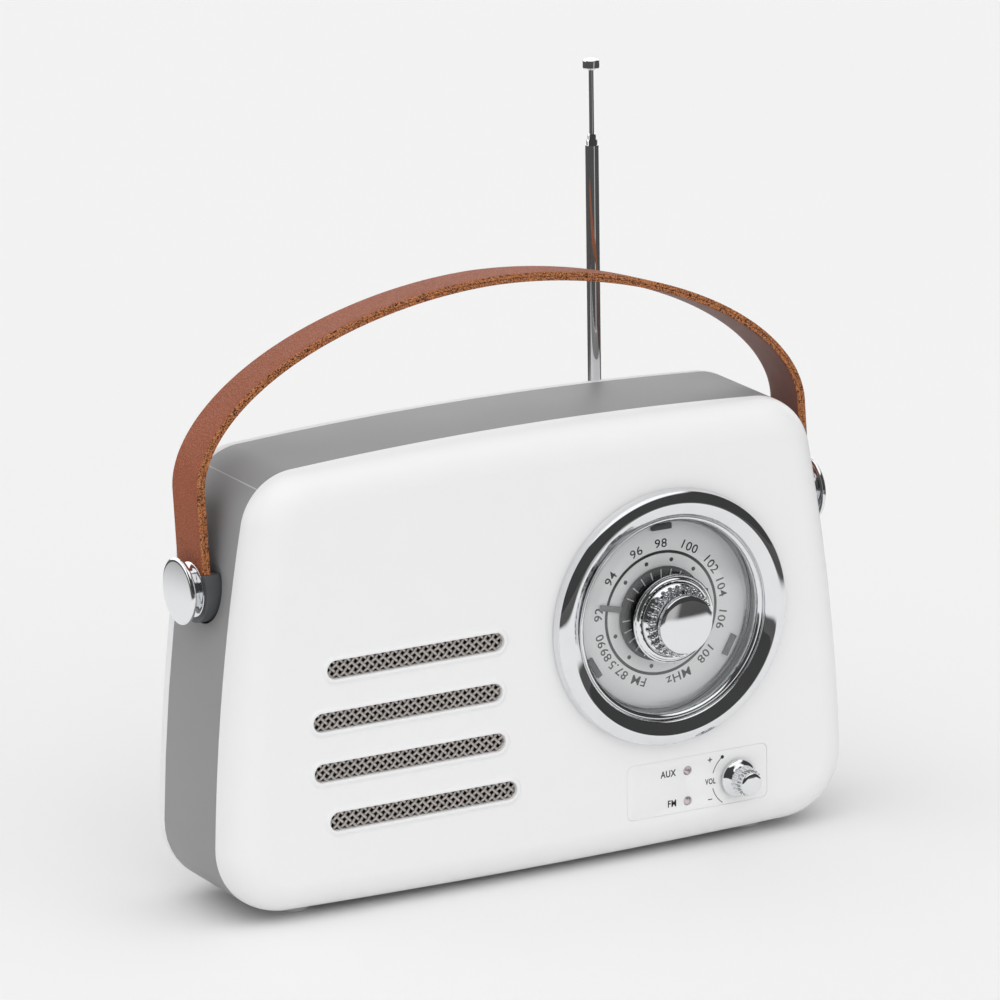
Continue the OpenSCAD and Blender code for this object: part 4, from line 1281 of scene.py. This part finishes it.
class RADIO_OT_dial(bpy.types.Operator):
    """Build the chrome bezel, the lens, the printed scale and the pointer"""

    bl_idname = "radio.dial"
    bl_label = "Dial"

    numbers = (
        ("FM", -158.6), ("87.5", -136.6), ("89", -118.2), ("90", -105.4), ("92", -83.1),
        ("94", -52.5), ("96", -22.6), ("98", 0.5), ("100", 28.3), ("102", 54.9),
        ("104", 77.4), ("106", 104.2), ("108", 135.1), ("MHz", 164.1),
    )

    def execute(self, context):
        shown = context.scene.radio_dial
        self.rims()
        self.print_scale(shown)
        self.pointer(shown)
        softened_copy("lens_clips", "lens_catches", "clip_dark", "clip_dark", 0.15)
        return {"FINISHED"}

    @staticmethod
    def rims():
        neck = FACE - PLATE - 1.2
        bezel = [(39.4, neck), (39.4, 3.4), (40.6, 4.15), (41.8, 4.85), (43.0, 5.5), (44.2, 6)]
        bezel += [(45.5, 5.75), (46.7, 5.25), (47.8, 4.55), (48.6, 3.7), (48.75, 2), (49.2, 0.9)]
        bezel.append((49.2, 0))
        bezel += [(40.8, 0), (40.8, neck)]
        shape = soften(dial_profile(bezel), 0.8, 4, ends=True)
        turned_piece("dial_bezel", [shape], DIAL, "chrome", "chrome", "bezel_ring", steps=160)
        ring = [(36.8, 0.4), (37.1, 1.9), (37.9, 2.7), (38.6, 2.8), (38.9, 2.2), (39.35, 2.2)]
        ring += [(39.35, -1.2), (38.65, -1.2), (38.65, 0.3)]
        shape = soften(dial_profile(ring), 0.3, 3, ends=True)
        turned_piece("dial_inner_ring", [shape], DIAL, "chrome", "chrome", "inner_ring", steps=160)
        top = FACE - PLATE
        lens = [(4, 2), (14, 1.9), (26, 1.45), (32, 0.9), (33.4, 0.1), (35.0, -0.1), (36.6, -0.5)]
        lens += [(38.5, -1.3), (38.5, top), (36.6, top), (35.9, -1.6), (34.4, -1.2), (32.6, -0.8)]
        lens += [(26, 0.2), (14, 0.6), (4, 0.7)]
        shape = soften(dial_profile(lens), 0.5, 3, ends=True)
        clear = "clear_lens"
        turned_piece("dial_window", [shape], DIAL, clear, clear, "dial_lens", steps=160)

    def print_scale(self, shown):
        """Scale plate of the CAD frame with ink on it: a circle, dots and numbers."""
        skin = Skin()
        ring = [(22.8, PLATE), (22.8, PLATE - 0.05), (23.9, PLATE - 0.05), (23.9, PLATE)]
        skin.turned(ring, DIAL, steps=160)
        marks = [skin.mesh("ink_circle", 30)]
        dot = Skin()
        spot = [(0, PLATE), (0.8, PLATE), (0.8, PLATE - 0.05), (0, PLATE - 0.05)]
        dot.turned(spot, (0, 0), steps=20)
        first, step = math.radians(-168), math.radians(30.2)
        marks.append(ring_of(dot.mesh("dot", 30), "black_ink", 12, 20.4, DIAL, first, step))
        for text, angle in self.numbers:
            a, height = math.radians(angle), shown.number_height / MM
            centre = (DIAL[0] + 26.7 * math.sin(a), DIAL[1] + 26.7 * math.cos(a))
            marks.append(lettering(text, height, centre, PLATE, angle, bold=0.008, squeeze=1.1))
        mesh = joined(marks, "scale_print")
        add_piece("scale_print", mesh, ["black_ink"], "case", "scale_print")

    @staticmethod
    def pointer(shown):
        skin = Skin()
        front, back = PLATE - 1.4, PLATE - 0.7
        disc = [(3, back), (18.1, back), (18.1, front), (3, front)]
        skin.turned(soften(disc, 0.12, 2, ends=True), DIAL, steps=120)
        mesh = skin.mesh("pointer_plate")
        black = "pointer_black"
        add_piece("pointer_plate", mesh, [black], "tuner", black, ["pointer_disc"])
        tick, half = Skin(), 0.24
        outline = bar(-half, half, 13.9, 17.2, half * 0.99)
        face, base = (
            tick.ring([(x, y, z) for x, z in outline]) for y in (front - 0.05, front + 0.02)
        )
        tick.join(face, base)
        tick.plate(face)
        tick.plate(base)
        gap = math.radians(15)
        unit = tick.mesh("tick", 30)
        ticks = ring_of(unit, "tick_white", 23, 0.0, DIAL, shown.pointer + gap, gap)
        add_piece("pointer_ticks", ticks, ["tick_white"], "tuner", black, ["pointer_disc"])
        arm = Skin()
        outline = bar(-1.1, 1.1, 17.6, 27, 0.25)
        rings = [
            arm.ring([(x * s, y, 22 + (z - 22) * s) for x, z in outline])
            for s, y in ((0.96, PLATE - 1.34), (1, PLATE - 1.28), (1, PLATE - 0.8))
        ]
        arm.chain(rings)
        arm.plate(rings[0])
        arm.plate(rings[-1])
        mesh = arm.mesh("pointer_arm")
        mesh.transform(Matrix.Rotation(shown.pointer, 4, "Y"))
        set_down(mesh, DIAL)
        add_piece("pointer_arm", mesh, ["pointer_grey"], "tuner", black, ["pointer_disc"])


class RADIO_OT_knobs(bpy.types.Operator):
    """Turn the tuning knob with its stepped skirt, and the volume knob"""

    bl_idname = "radio.knobs"
    bl_label = "Knobs"

    def execute(self, context):
        skirt = [(3, 2.9), (15.4, 2.9), (17, 3.4), (17, 4.0), (16.5, 4.25), (16.1, 4.0)]
        skirt += [(15.6, 4.35), (15.2, 4.85), (14.4, 4.85), (14.2, 4.6), (3, 4.85)]
        shape = soften(dial_profile(skirt), 0.2, 3, ends=True)
        turned_piece("tuning_skirt", [shape], DIAL, "chrome", "chrome", "knob_skirt", steps=128)
        self.tuning(context.scene.radio_dial.knob_beads)
        self.volume()
        return {"FINISHED"}

    @staticmethod
    def dome(radius, out, rise, steps=10):
        parts = [1 - k / steps for k in range(steps + 1)]
        return [(radius * t, out - rise * t**2) for t in parts]

    def tuning(self, beads):
        body = [(3, 4.9), (14.1, 4.9), (13.9, 5.5), (12.9, 6.6), (12.0, 8.4), (11.5, 10.4)]
        body += [(11.2, 11.8), (11.2, 13.0), (10.9, 13.5)]
        body = soften(body, 0.5) + self.dome(10.3, 14.7, 0.95)
        body += [(0, 12.7), (3, 12.7)]
        skin = Skin()
        skin.turned(dial_profile(body), DIAL, steps=128)
        base = skin.mesh("knob_body", 34)
        bead = Skin()
        lobes = [(0, 5.4), (0.62, 5.6), (0.95, 6.3), (0.93, 7.0), (0.66, 7.6), (0.93, 8.2)]
        lobes += [(0.95, 8.9), (0.62, 9.6), (0, 9.8)]
        bead.turned(dial_profile(lobes), (0, 0), steps=12)
        ring = ring_of(bead.mesh("bead", 60), "chrome", beads, 12.6, DIAL)
        mesh = joined([base, ring], "tuning_grip")
        add_piece("tuning_grip", mesh, ["chrome"], "tuner", "chrome", ["tuning_knob"])

    def volume(self):
        body = [(3, 0.6), (7.3, 0.6), (7.4, 1.5), (6.7, 2.4), (5.6, 3.3), (4.9, 4.4)]
        body += [(4.55, 6.4), (4.4, 9.0), (4.4, 10.2), (4.1, 10.75)]
        body = soften(body, 0.35) + self.dome(3.8, 11.4, 0.4, 6)
        body += [(0, -8), (3, -8)]
        skin = Skin()
        skin.turned(dial_profile(body), VOLUME, steps=96)
        base = skin.mesh("volume_body", 34)
        rib = Skin()
        shape = [(0, 4.0), (0.42, 4.15), (0.6, 4.7), (0.6, 8.1), (0.42, 8.65), (0, 8.8)]
        rib.turned(dial_profile(shape), (0, 0), steps=10)
        ribs = ring_of(rib.mesh("rib", 60), "chrome", 18, 4.85, VOLUME)
        mesh = joined([base, ribs], "volume_grip")
        add_piece("volume_grip", mesh, ["chrome"], "volume", "chrome", ["volume_knob"])


class RADIO_OT_panel(bpy.types.Operator):
    """Build the control panel, its printed legends and the two lamps"""

    bl_idname = "radio.panel"
    bl_label = "Control panel"

    def execute(self, context):
        low, high = corners("control_panel")
        face, led_x = low.y, middle("led_upper").x
        plate = Skin()
        spots = [(led_x, middle(n).z, 1.75) for n in LAMPS]
        spots.append((*VOLUME, 3.9))
        rims = []
        for y, inset in ((high.y, 0), (face + 0.14, 0), (face + 0.03, 0.05), (face, 0.14)):
            outline = bar(low.x, high.x, low.z, high.z, 2.35, 0.17 - inset, 8)
            rings = [outline] + [circle((a, b), r + inset * 0.6, 40) for a, b, r in spots]
            rims.append([plate.ring([(a, y, b) for a, b in points]) for points in rings])
        for column in zip(*rims):
            plate.chain(column)
        for rim in (rims[0], rims[-1]):
            plate.plate(rim[0], rim[1:])
        mesh = plate.mesh("panel_plate")
        add_piece("panel_plate", mesh, ["white_plastic"], "case", "white_shell", ["control_panel"])
        marks = []
        for text, node in (("AUX", "led_upper"), ("FM", "led_lower")):
            centre = (led_x - 5.0, middle(node).z + 0.1)
            marks.append(
                lettering(text, 2.7, centre, face, 0, bold=0.02, squeeze=0.8, align="RIGHT")
            )
        x, z = VOLUME
        marks.append(lettering("VOL", 2.3, (x - 11.7, z + 0.2), face, bold=0.02, squeeze=0.7))
        skin = Skin()
        signs = [(-12.7, -10.9, 8.42, 8.8), (-12.75, -10.95, -7.0, -6.65)]
        signs.append((-11.99, -11.61, 7.7, 9.5))
        for x0, x1, z0, z1 in signs:
            outline = bar(x + x0, x + x1, z + z0, z + z1, 0.05, 0, 2)
            top = skin.ring([(a, face - 0.04, b) for a, b in outline])
            low = skin.ring([(a, face, b) for a, b in outline])
            skin.join(top, low)
            skin.plate(top)
            skin.plate(low)
        for start, stop in ((-36, -73), (-104, -144)):
            self.curve(skin, face, start, stop)
        spot = (x + 11.0 * math.sin(math.radians(-36)), z + 11.0 * math.cos(math.radians(-36)))
        skin.turned([(0, face), (0.7, face), (0.7, face - 0.04), (0, face - 0.04)], spot, steps=20)
        marks.append(skin.mesh("panel_marks", 30))
        mesh = joined(marks, "panel_print")
        add_piece("panel_print", mesh, ["black_ink"], "case", "scale_print")
        for node in LAMPS:
            depth = FACE - corners(node)[1].y
            lamp = [(0, 0.18), (0.6, 0.14), (1.1, 0.0), (1.45, -0.22), (1.62, -0.5), (1.7, -0.9)]
            lamp += [(1.7, depth), (0, depth)]
            name, shape, lens = node.replace("led", "lamp"), dial_profile(lamp), "led_lens"
            turned_piece(name, [shape], front_of(node), lens, lens, node, steps=40)
        return {"FINISHED"}

    @staticmethod
    def curve(skin, face, start, stop):
        """Thin printed arc round the volume knob."""
        steps = 16
        loops = []
        for radius, y in ((11.15, face - 0.04), (10.87, face - 0.04), (10.87, face), (11.15, face)):
            points = []
            for k in range(steps + 1):
                a = math.radians(start + (stop - start) * k / steps)
                x, z = VOLUME[0] + radius * math.sin(a), VOLUME[1] + radius * math.cos(a)
                points.append((x, y, z))
            loops.append(skin.ring(points))
        for a, b in zip(loops, loops[1:] + loops[:1]):
            for k in range(steps):
                skin.face((a[k], a[k + 1], b[k + 1], b[k]))
        for k in (0, steps):
            skin.face([loop[k] for loop in loops])


class RADIO_OT_handle(bpy.types.Operator):
    """Build the two-ply leather strap, its bosses and chrome caps"""

    bl_idname = "radio.handle"
    bl_label = "Handle"

    def execute(self, context):
        shown = context.scene.radio_handle
        self.strap(shown.width / MM / 2, shown.thickness / MM)
        for side, name in ((-1, "left"), (1, "right")):
            out = STRAP_IN + shown.thickness / MM
            boss = f"boss_{name}"
            softened_copy(boss, f"strap_{boss}", "boss_grey", "boss_grey", 0.35, past=124.3)
            tall = corners("cap_right")[1].x - out
            cap = [(0, 0), (10.3, 0), (10.1, 0.3), (8.8, 0.8), (7.4, 1.7), (6.7, 3.0), (7.3, 4.1)]
            cap += [(9.5, tall - 2.35), (11.6, tall - 2.1), (12.3, tall - 1.75)]
            cap += [(12.4, tall - 1.2), (12.4, tall - 0.65), (11.9, tall - 0.15)]
            cap += [(11.2, tall), (0, tall)]
            shape = [(r, side * (out + h)) for r, h in soften(cap, 0.35, 3)]
            centre = (PIVOT_Y, PIVOT_Z)
            cap, node = f"strap_cap_{name}", f"cap_{name}"
            turned_piece(cap, [shape], centre, "chrome", "chrome", node, "X")
        low = corners("pivot_pins")[1].x - 6.8
        pin = [(0, low - 2), (6, low - 2), (6, low), (3, low), (3, 122.2), (0, 122.2)]
        pins = [[(r, side * x) for r, x in soften(pin, 0.3, 2)] for side in (-1, 1)]
        turned_piece("hinge_pins", pins, centre, "steel", "steel", "pivot_pins", "X", 48)
        return {"FINISHED"}

    @staticmethod
    def strap(half, thick):
        slit = thick / 2
        edge = [(half - 0.12, 0.14), (half, 0.42), (half, slit - 0.16), (half - 0.32, slit)]
        edge += [(half, slit + 0.16), (half, thick - 0.42), (half - 0.12, thick - 0.14)]
        across = [half * k / 4 for k in range(-3, 4)]
        inner = [(-half + 0.4, 0)] + [(v, 0) for v in across] + [(half - 0.4, 0)]
        crease = [(half - 0.4, thick), (half - 1.15, thick), (half - 1.35, thick - 0.07)]
        crease.append((half - 1.55, thick))
        outer = crease + [(v, thick) for v in reversed(across)] + [(-v, u) for v, u in crease[::-1]]
        loop = inner + edge + outer + [(-v, u) for v, u in edge[::-1]]
        parts = [2] * (len(inner) - 1) + [1] * (len(edge) + 1)
        parts += [0] * (len(outer) - 1) + [1] * (len(edge) + 1)
        a, rise, height, power = STRAP_IN, 36, 60, 2 / 1.87
        stations = []
        for k in range(13):
            z = 6.4 + (rise - 6.4) * k / 12
            stations.append(((a, z), (a + thick, z)))
        for k in range(1, 120):
            angle = math.pi * k / 120
            c, s = math.cos(angle), math.sin(angle)
            wide, tall = math.copysign(abs(c) ** power, c), s**power
            low = (a * wide, rise + height * tall)
            stations.append((low, ((a + thick) * wide, rise + (height + thick) * tall)))
        stations += [((-p[0], p[1]), (-q[0], q[1])) for p, q in stations[12::-1]]
        lean = math.radians(5.7)
        skin = Skin()

        def leaned(x, y, z):
            """From the upright handle to its rest lean about the pivots."""
            return (
                x,
                PIVOT_Y + y * math.cos(lean) + z * math.sin(lean),
                PIVOT_Z - y * math.sin(lean) + z * math.cos(lean),
            )

        rings = []
        for low, high in stations:
            ring = []
            for v, u in loop:
                t = u / thick
                x, z = (low[i] + (high[i] - low[i]) * t for i in (0, 1))
                ring.append(leaned(x, v, z))
            rings.append(skin.ring(ring))
        n = len(loop)
        for p, q in zip(rings, rings[1:]):
            for i in range(n):
                j = (i + 1) % n
                skin.face((p[i], p[j], q[j], q[i]), parts[i])
        skin.plate(rings[0], part=1)
        skin.plate(rings[-1], part=1)
        for side in (-1, 1):
            x0, x1 = sorted((side * a, side * (a + thick)))
            ends = []
            for z, i in ((0.5, 0.25), (0.51, 0), (6.6, 0)):
                tongue = ((x0 + i, i - 6), (x1 - i, i - 6), (x1 - i, 6 - i), (x0 + i, 6 - i))
                ends.append(skin.ring([leaned(x, y, z) for x, y in tongue]))
            skin.chain(ends, 1)
            skin.face(ends[0], 1)
            skin.face(ends[-1], 1)
        mesh = skin.mesh("leather_strap", 38)
        finishes = ["leather_grain", "leather_edge", "leather_inside"]
        add_piece("leather_strap", mesh, finishes, "handle", "leather", ["handle_strap"])


class RADIO_OT_aerial(bpy.types.Operator):
    """Build the telescopic aerial on its swivel"""

    bl_idname = "radio.aerial"
    bl_label = "Aerial"

    def execute(self, context):
        centre = (middle("aerial_rod").x, middle("aerial_rod").y)
        for node, outer, bore in (("aerial_tube_2", 2.05, 1.65), ("aerial_tube_3", 1.55, 1.0)):
            low, high = corners(node)[0].z, corners(node)[1].z
            shape = [(0, low), (outer, low), (outer, high - 0.7), (outer - 0.12, high - 0.35)]
            shape += [(outer - 0.22, high), (bore, high), (bore, low + 2), (0, low + 2)]
            name = node.replace("aerial_tube", "whip_section")
            turned_piece(name, [shape], centre, "chrome", "chrome", node, axis="Z", steps=40)
        low, high = corners("aerial_rod")[0].z, corners("aerial_tip")[1].z - 3.7
        shape = soften([(0, low), (0.9, low), (0.9, high), (0, high)], 0.2)
        turned_piece("whip_rod", [shape], centre, "chrome", "chrome", "aerial_rod", "Z", 32)
        low = corners("aerial_tip")[1].z - 3.4
        tip = [(0, -0.6), (1.3, -0.6), (1.5, 0), (2.8, 0), (3.1, 0.3), (3.1, 3.1), (2.8, 3.4)]
        shape = [(r, low + h) for r, h in soften([*tip, (0, 3.4)], 0.2, 3)]
        turned_piece("whip_tip", [shape], centre, "chrome", "chrome", "aerial_tip", "Z", 48)
        softened_copy("aerial_base", "whip_swivel", "chrome", "chrome", 0.2)
        dress("aerial_tube_1", "chrome")
        dress("aerial_pin", "steel")
        return {"FINISHED"}


def dress(node, finish_name):
    """Gives a carried-over CAD node its finish."""
    mesh = frame["nodes"][node].data
    for k in range(len(mesh.materials)):
        mesh.materials[k] = finish(finish_name)


def screw_mesh(head, thick, shank, length):
    """Cross-head screw with its head's top at y = 0, facing back."""
    skin = Skin()
    arm, half = head * 0.55, head * 0.13
    cross = [(half, arm), (-half, arm), (-half, half), (-arm, half), (-arm, -half), (-half, -half)]
    cross += [(-half, -arm), (half, -arm), (half, -half), (arm, -half), (arm, half), (half, half)]
    edge = [(head * 0.86, 0), (head * 0.97, -0.12), (head, -0.35), (head, -thick)]
    edge += [(shank, -thick), (shank, -length)]
    rings = [skin.ring([(x, y, z) for x, z in circle((0, 0), r, 24)]) for r, y in edge]
    skin.chain(rings)
    skin.plate(rings[-1])
    top = skin.ring([(x, 0, z) for x, z in cross])
    low = skin.ring([(x * 0.8, -thick * 0.7, z * 0.8) for x, z in cross])
    skin.plate(rings[0], [top])
    skin.join(top, low)
    skin.plate(low)
    return skin.mesh("screw", 40)


class RADIO_OT_rear(bpy.types.Operator):
    """Build the rear buttons, switch, sockets, screws and the feet"""

    bl_idname = "radio.rear"
    bl_label = "Rear and feet"

    def execute(self, context):
        for node in KEYS:
            low, high = corners(node)
            rim = (high.x - low.x) / 2
            shape = [(0, high.y - 0.25), (1.9, high.y - 0.12), (2.9, high.y), (3.3, high.y - 0.1)]
            shape += [(3.6, high.y - 0.5), (3.6, low.y + 1.4), (rim, low.y + 1.4), (rim, low.y)]
            shape = soften([*shape, (0, low.y)], 0.3, 3)
            name, slot = node.replace("button", "key"), "black_plastic"
            turned_piece(name, [shape], front_of(node), "button_grey", slot, node, steps=48)
        self.switch()
        softened_copy("power_jack", "power_inlet", "black_plastic", "black_plastic", 0.15)
        softened_copy("aux_jack", "aux_socket", "black_plastic", "black_plastic", 0.15)
        softened_copy("usb_port", "usb_socket", "steel", "steel", 0.1)
        spots = spot_pattern()
        top = corners("case_screws")[1].y
        points = [(x, top, z) for x, z in POSTS]
        screws = spots.run(screw_mesh(3, 1.2, 1.25, 14), "steel", points=points)
        add_piece("cover_screws", screws, ["steel"], "case", "steel", ["case_screws"])
        low, high = corners("rubber_feet")
        pad = [(0, 0.35), (4.2, 0.35), (4.5, 0), (5.5, 0), (6, 0.5), (6, high.z), (0, high.z)]
        skin = Skin()
        skin.turned(soften(pad, 0.3, 3), (0, 0), "Z", 48)
        points = [(x, y, 0) for x in (-96, 96) for y in (low.y + 6, high.y - 6)]
        feet = spots.run(skin.mesh("foot", 40), "rubber", points=points)
        add_piece("feet", feet, ["rubber"], "case", "rubber", ["rubber_feet"])
        return {"FINISHED"}

    @staticmethod
    def switch():
        """Sliding switch knob with grip ridges across it."""
        low, high = corners("power_switch")
        skin = Skin()
        top = high.y
        xs = [low.x + (high.x - low.x) * k / 12 for k in range(13)]
        profile = [(low.x, low.y)] + [
            (x, top - (0.0 if k % 2 else 0.5) - (0.2 if k in (0, 12) else 0))
            for k, x in enumerate(xs)
        ]
        profile.append((high.x, low.y))
        rings = [skin.ring([(x, y, z) for x, y in profile]) for z in (low.z, high.z)]
        skin.join(rings[0], rings[1])
        skin.plate(rings[0])
        skin.plate(rings[1])
        mesh = skin.mesh("switch_slide", 25)
        black = "black_plastic"
        add_piece("switch_slide", mesh, [black], "power_switch", black, ["power_switch"])


class RADIO_OT_inside(bpy.types.Operator):
    """Finish the parts inside the case"""

    bl_idname = "radio.inside"
    bl_label = "Inside"

    finishes = {
        "scale_plate": "scale_silver", "tuning_shaft": "steel", "tuning_capacitor": "component",
        "panel_board": "circuit_board", "volume_pot": "steel", "volume_shaft": "steel",
        "speaker_frame": "black_steel", "speaker_magnet": "ferrite",
        "speaker_cone": "paper_cone", "main_board": "circuit_board", "ferrite_rod": "ferrite",
        "amplifier_heatsink": "heatsink_alu", "battery_box": "black_plastic",
        "battery_cells": "cell_wrap", "battery_contacts": "steel", "jack_board": "circuit_board",
    }

    def execute(self, context):
        for node, name in self.finishes.items():
            dress(node, name)
        spots = spot_pattern()
        low, high = corners("speaker_screws")
        (x, z), reach = front_of("speaker_screws"), (high.x - low.x) / 2 - 2.6
        sides = (-reach, reach)
        points = [(x + a, high.y, z + b) for a in sides for b in sides]
        mesh = spots.run(screw_mesh(2.6, 1.2, 1.1, 2.4), "steel", points=points)
        add_piece("cone_screws", mesh, ["steel"], "case", "steel", ["speaker_screws"])
        low, high = corners("board_screws")
        points = [(x, high.y, z) for x in (low.x + 3, high.x - 3) for z in (low.z + 3, high.z - 3)]
        mesh = spots.run(screw_mesh(3, 2, 1.5, 9.6), "brass", points=points)
        add_piece("chassis_screws", mesh, ["brass"], "case", "brass", ["board_screws"])
        return {"FINISHED"}


class RADIO_PT_build(bpy.types.Panel):
    """Buttons that build the radio piece by piece"""

    bl_idname = "RADIO_PT_build"
    bl_label = "Tabletop radio"
    bl_space_type = "VIEW_3D"
    bl_region_type = "UI"
    bl_category = "Radio"

    def draw(self, context):
        for name in SETTINGS:
            box = self.layout.box()
            group = getattr(context.scene, name)
            for key in group.__annotations__:
                box.prop(group, key)
        for operator in OPERATORS:
            self.layout.operator(operator.bl_idname)


SETTINGS = {
    "radio_stage": RadioStage,
    "radio_case": RadioCase,
    "radio_dial": RadioDial,
    "radio_handle": RadioHandle,
}
OPERATORS = (
    RADIO_OT_stage,
    RADIO_OT_case,
    RADIO_OT_grille,
    RADIO_OT_dial,
    RADIO_OT_knobs,
    RADIO_OT_panel,
    RADIO_OT_handle,
    RADIO_OT_aerial,
    RADIO_OT_rear,
    RADIO_OT_inside,
)


def register():
    for group in (*SETTINGS.values(), *OPERATORS, RADIO_PT_build):
        bpy.utils.register_class(group)
    for name, group in SETTINGS.items():
        setattr(bpy.types.Scene, name, PointerProperty(type=group))


def unregister():
    for name in SETTINGS:
        delattr(bpy.types.Scene, name)
    for group in reversed((*SETTINGS.values(), *OPERATORS, RADIO_PT_build)):
        bpy.utils.unregister_class(group)


def main():
    register()
    for operator in OPERATORS:
        group, name = operator.bl_idname.split(".")
        getattr(getattr(bpy.ops, group), name)()
    bpy.context.view_layer.update()
    sizes = {"cad": CAD_BOUNDS, "visual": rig.bounds()}
    plain = {key: [list(corner) for corner in pair] for key, pair in sizes.items()}
    with open("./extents.json", "w") as out:
        json.dump(plain, out, indent=1)


if __name__ == "__main__":
    main()
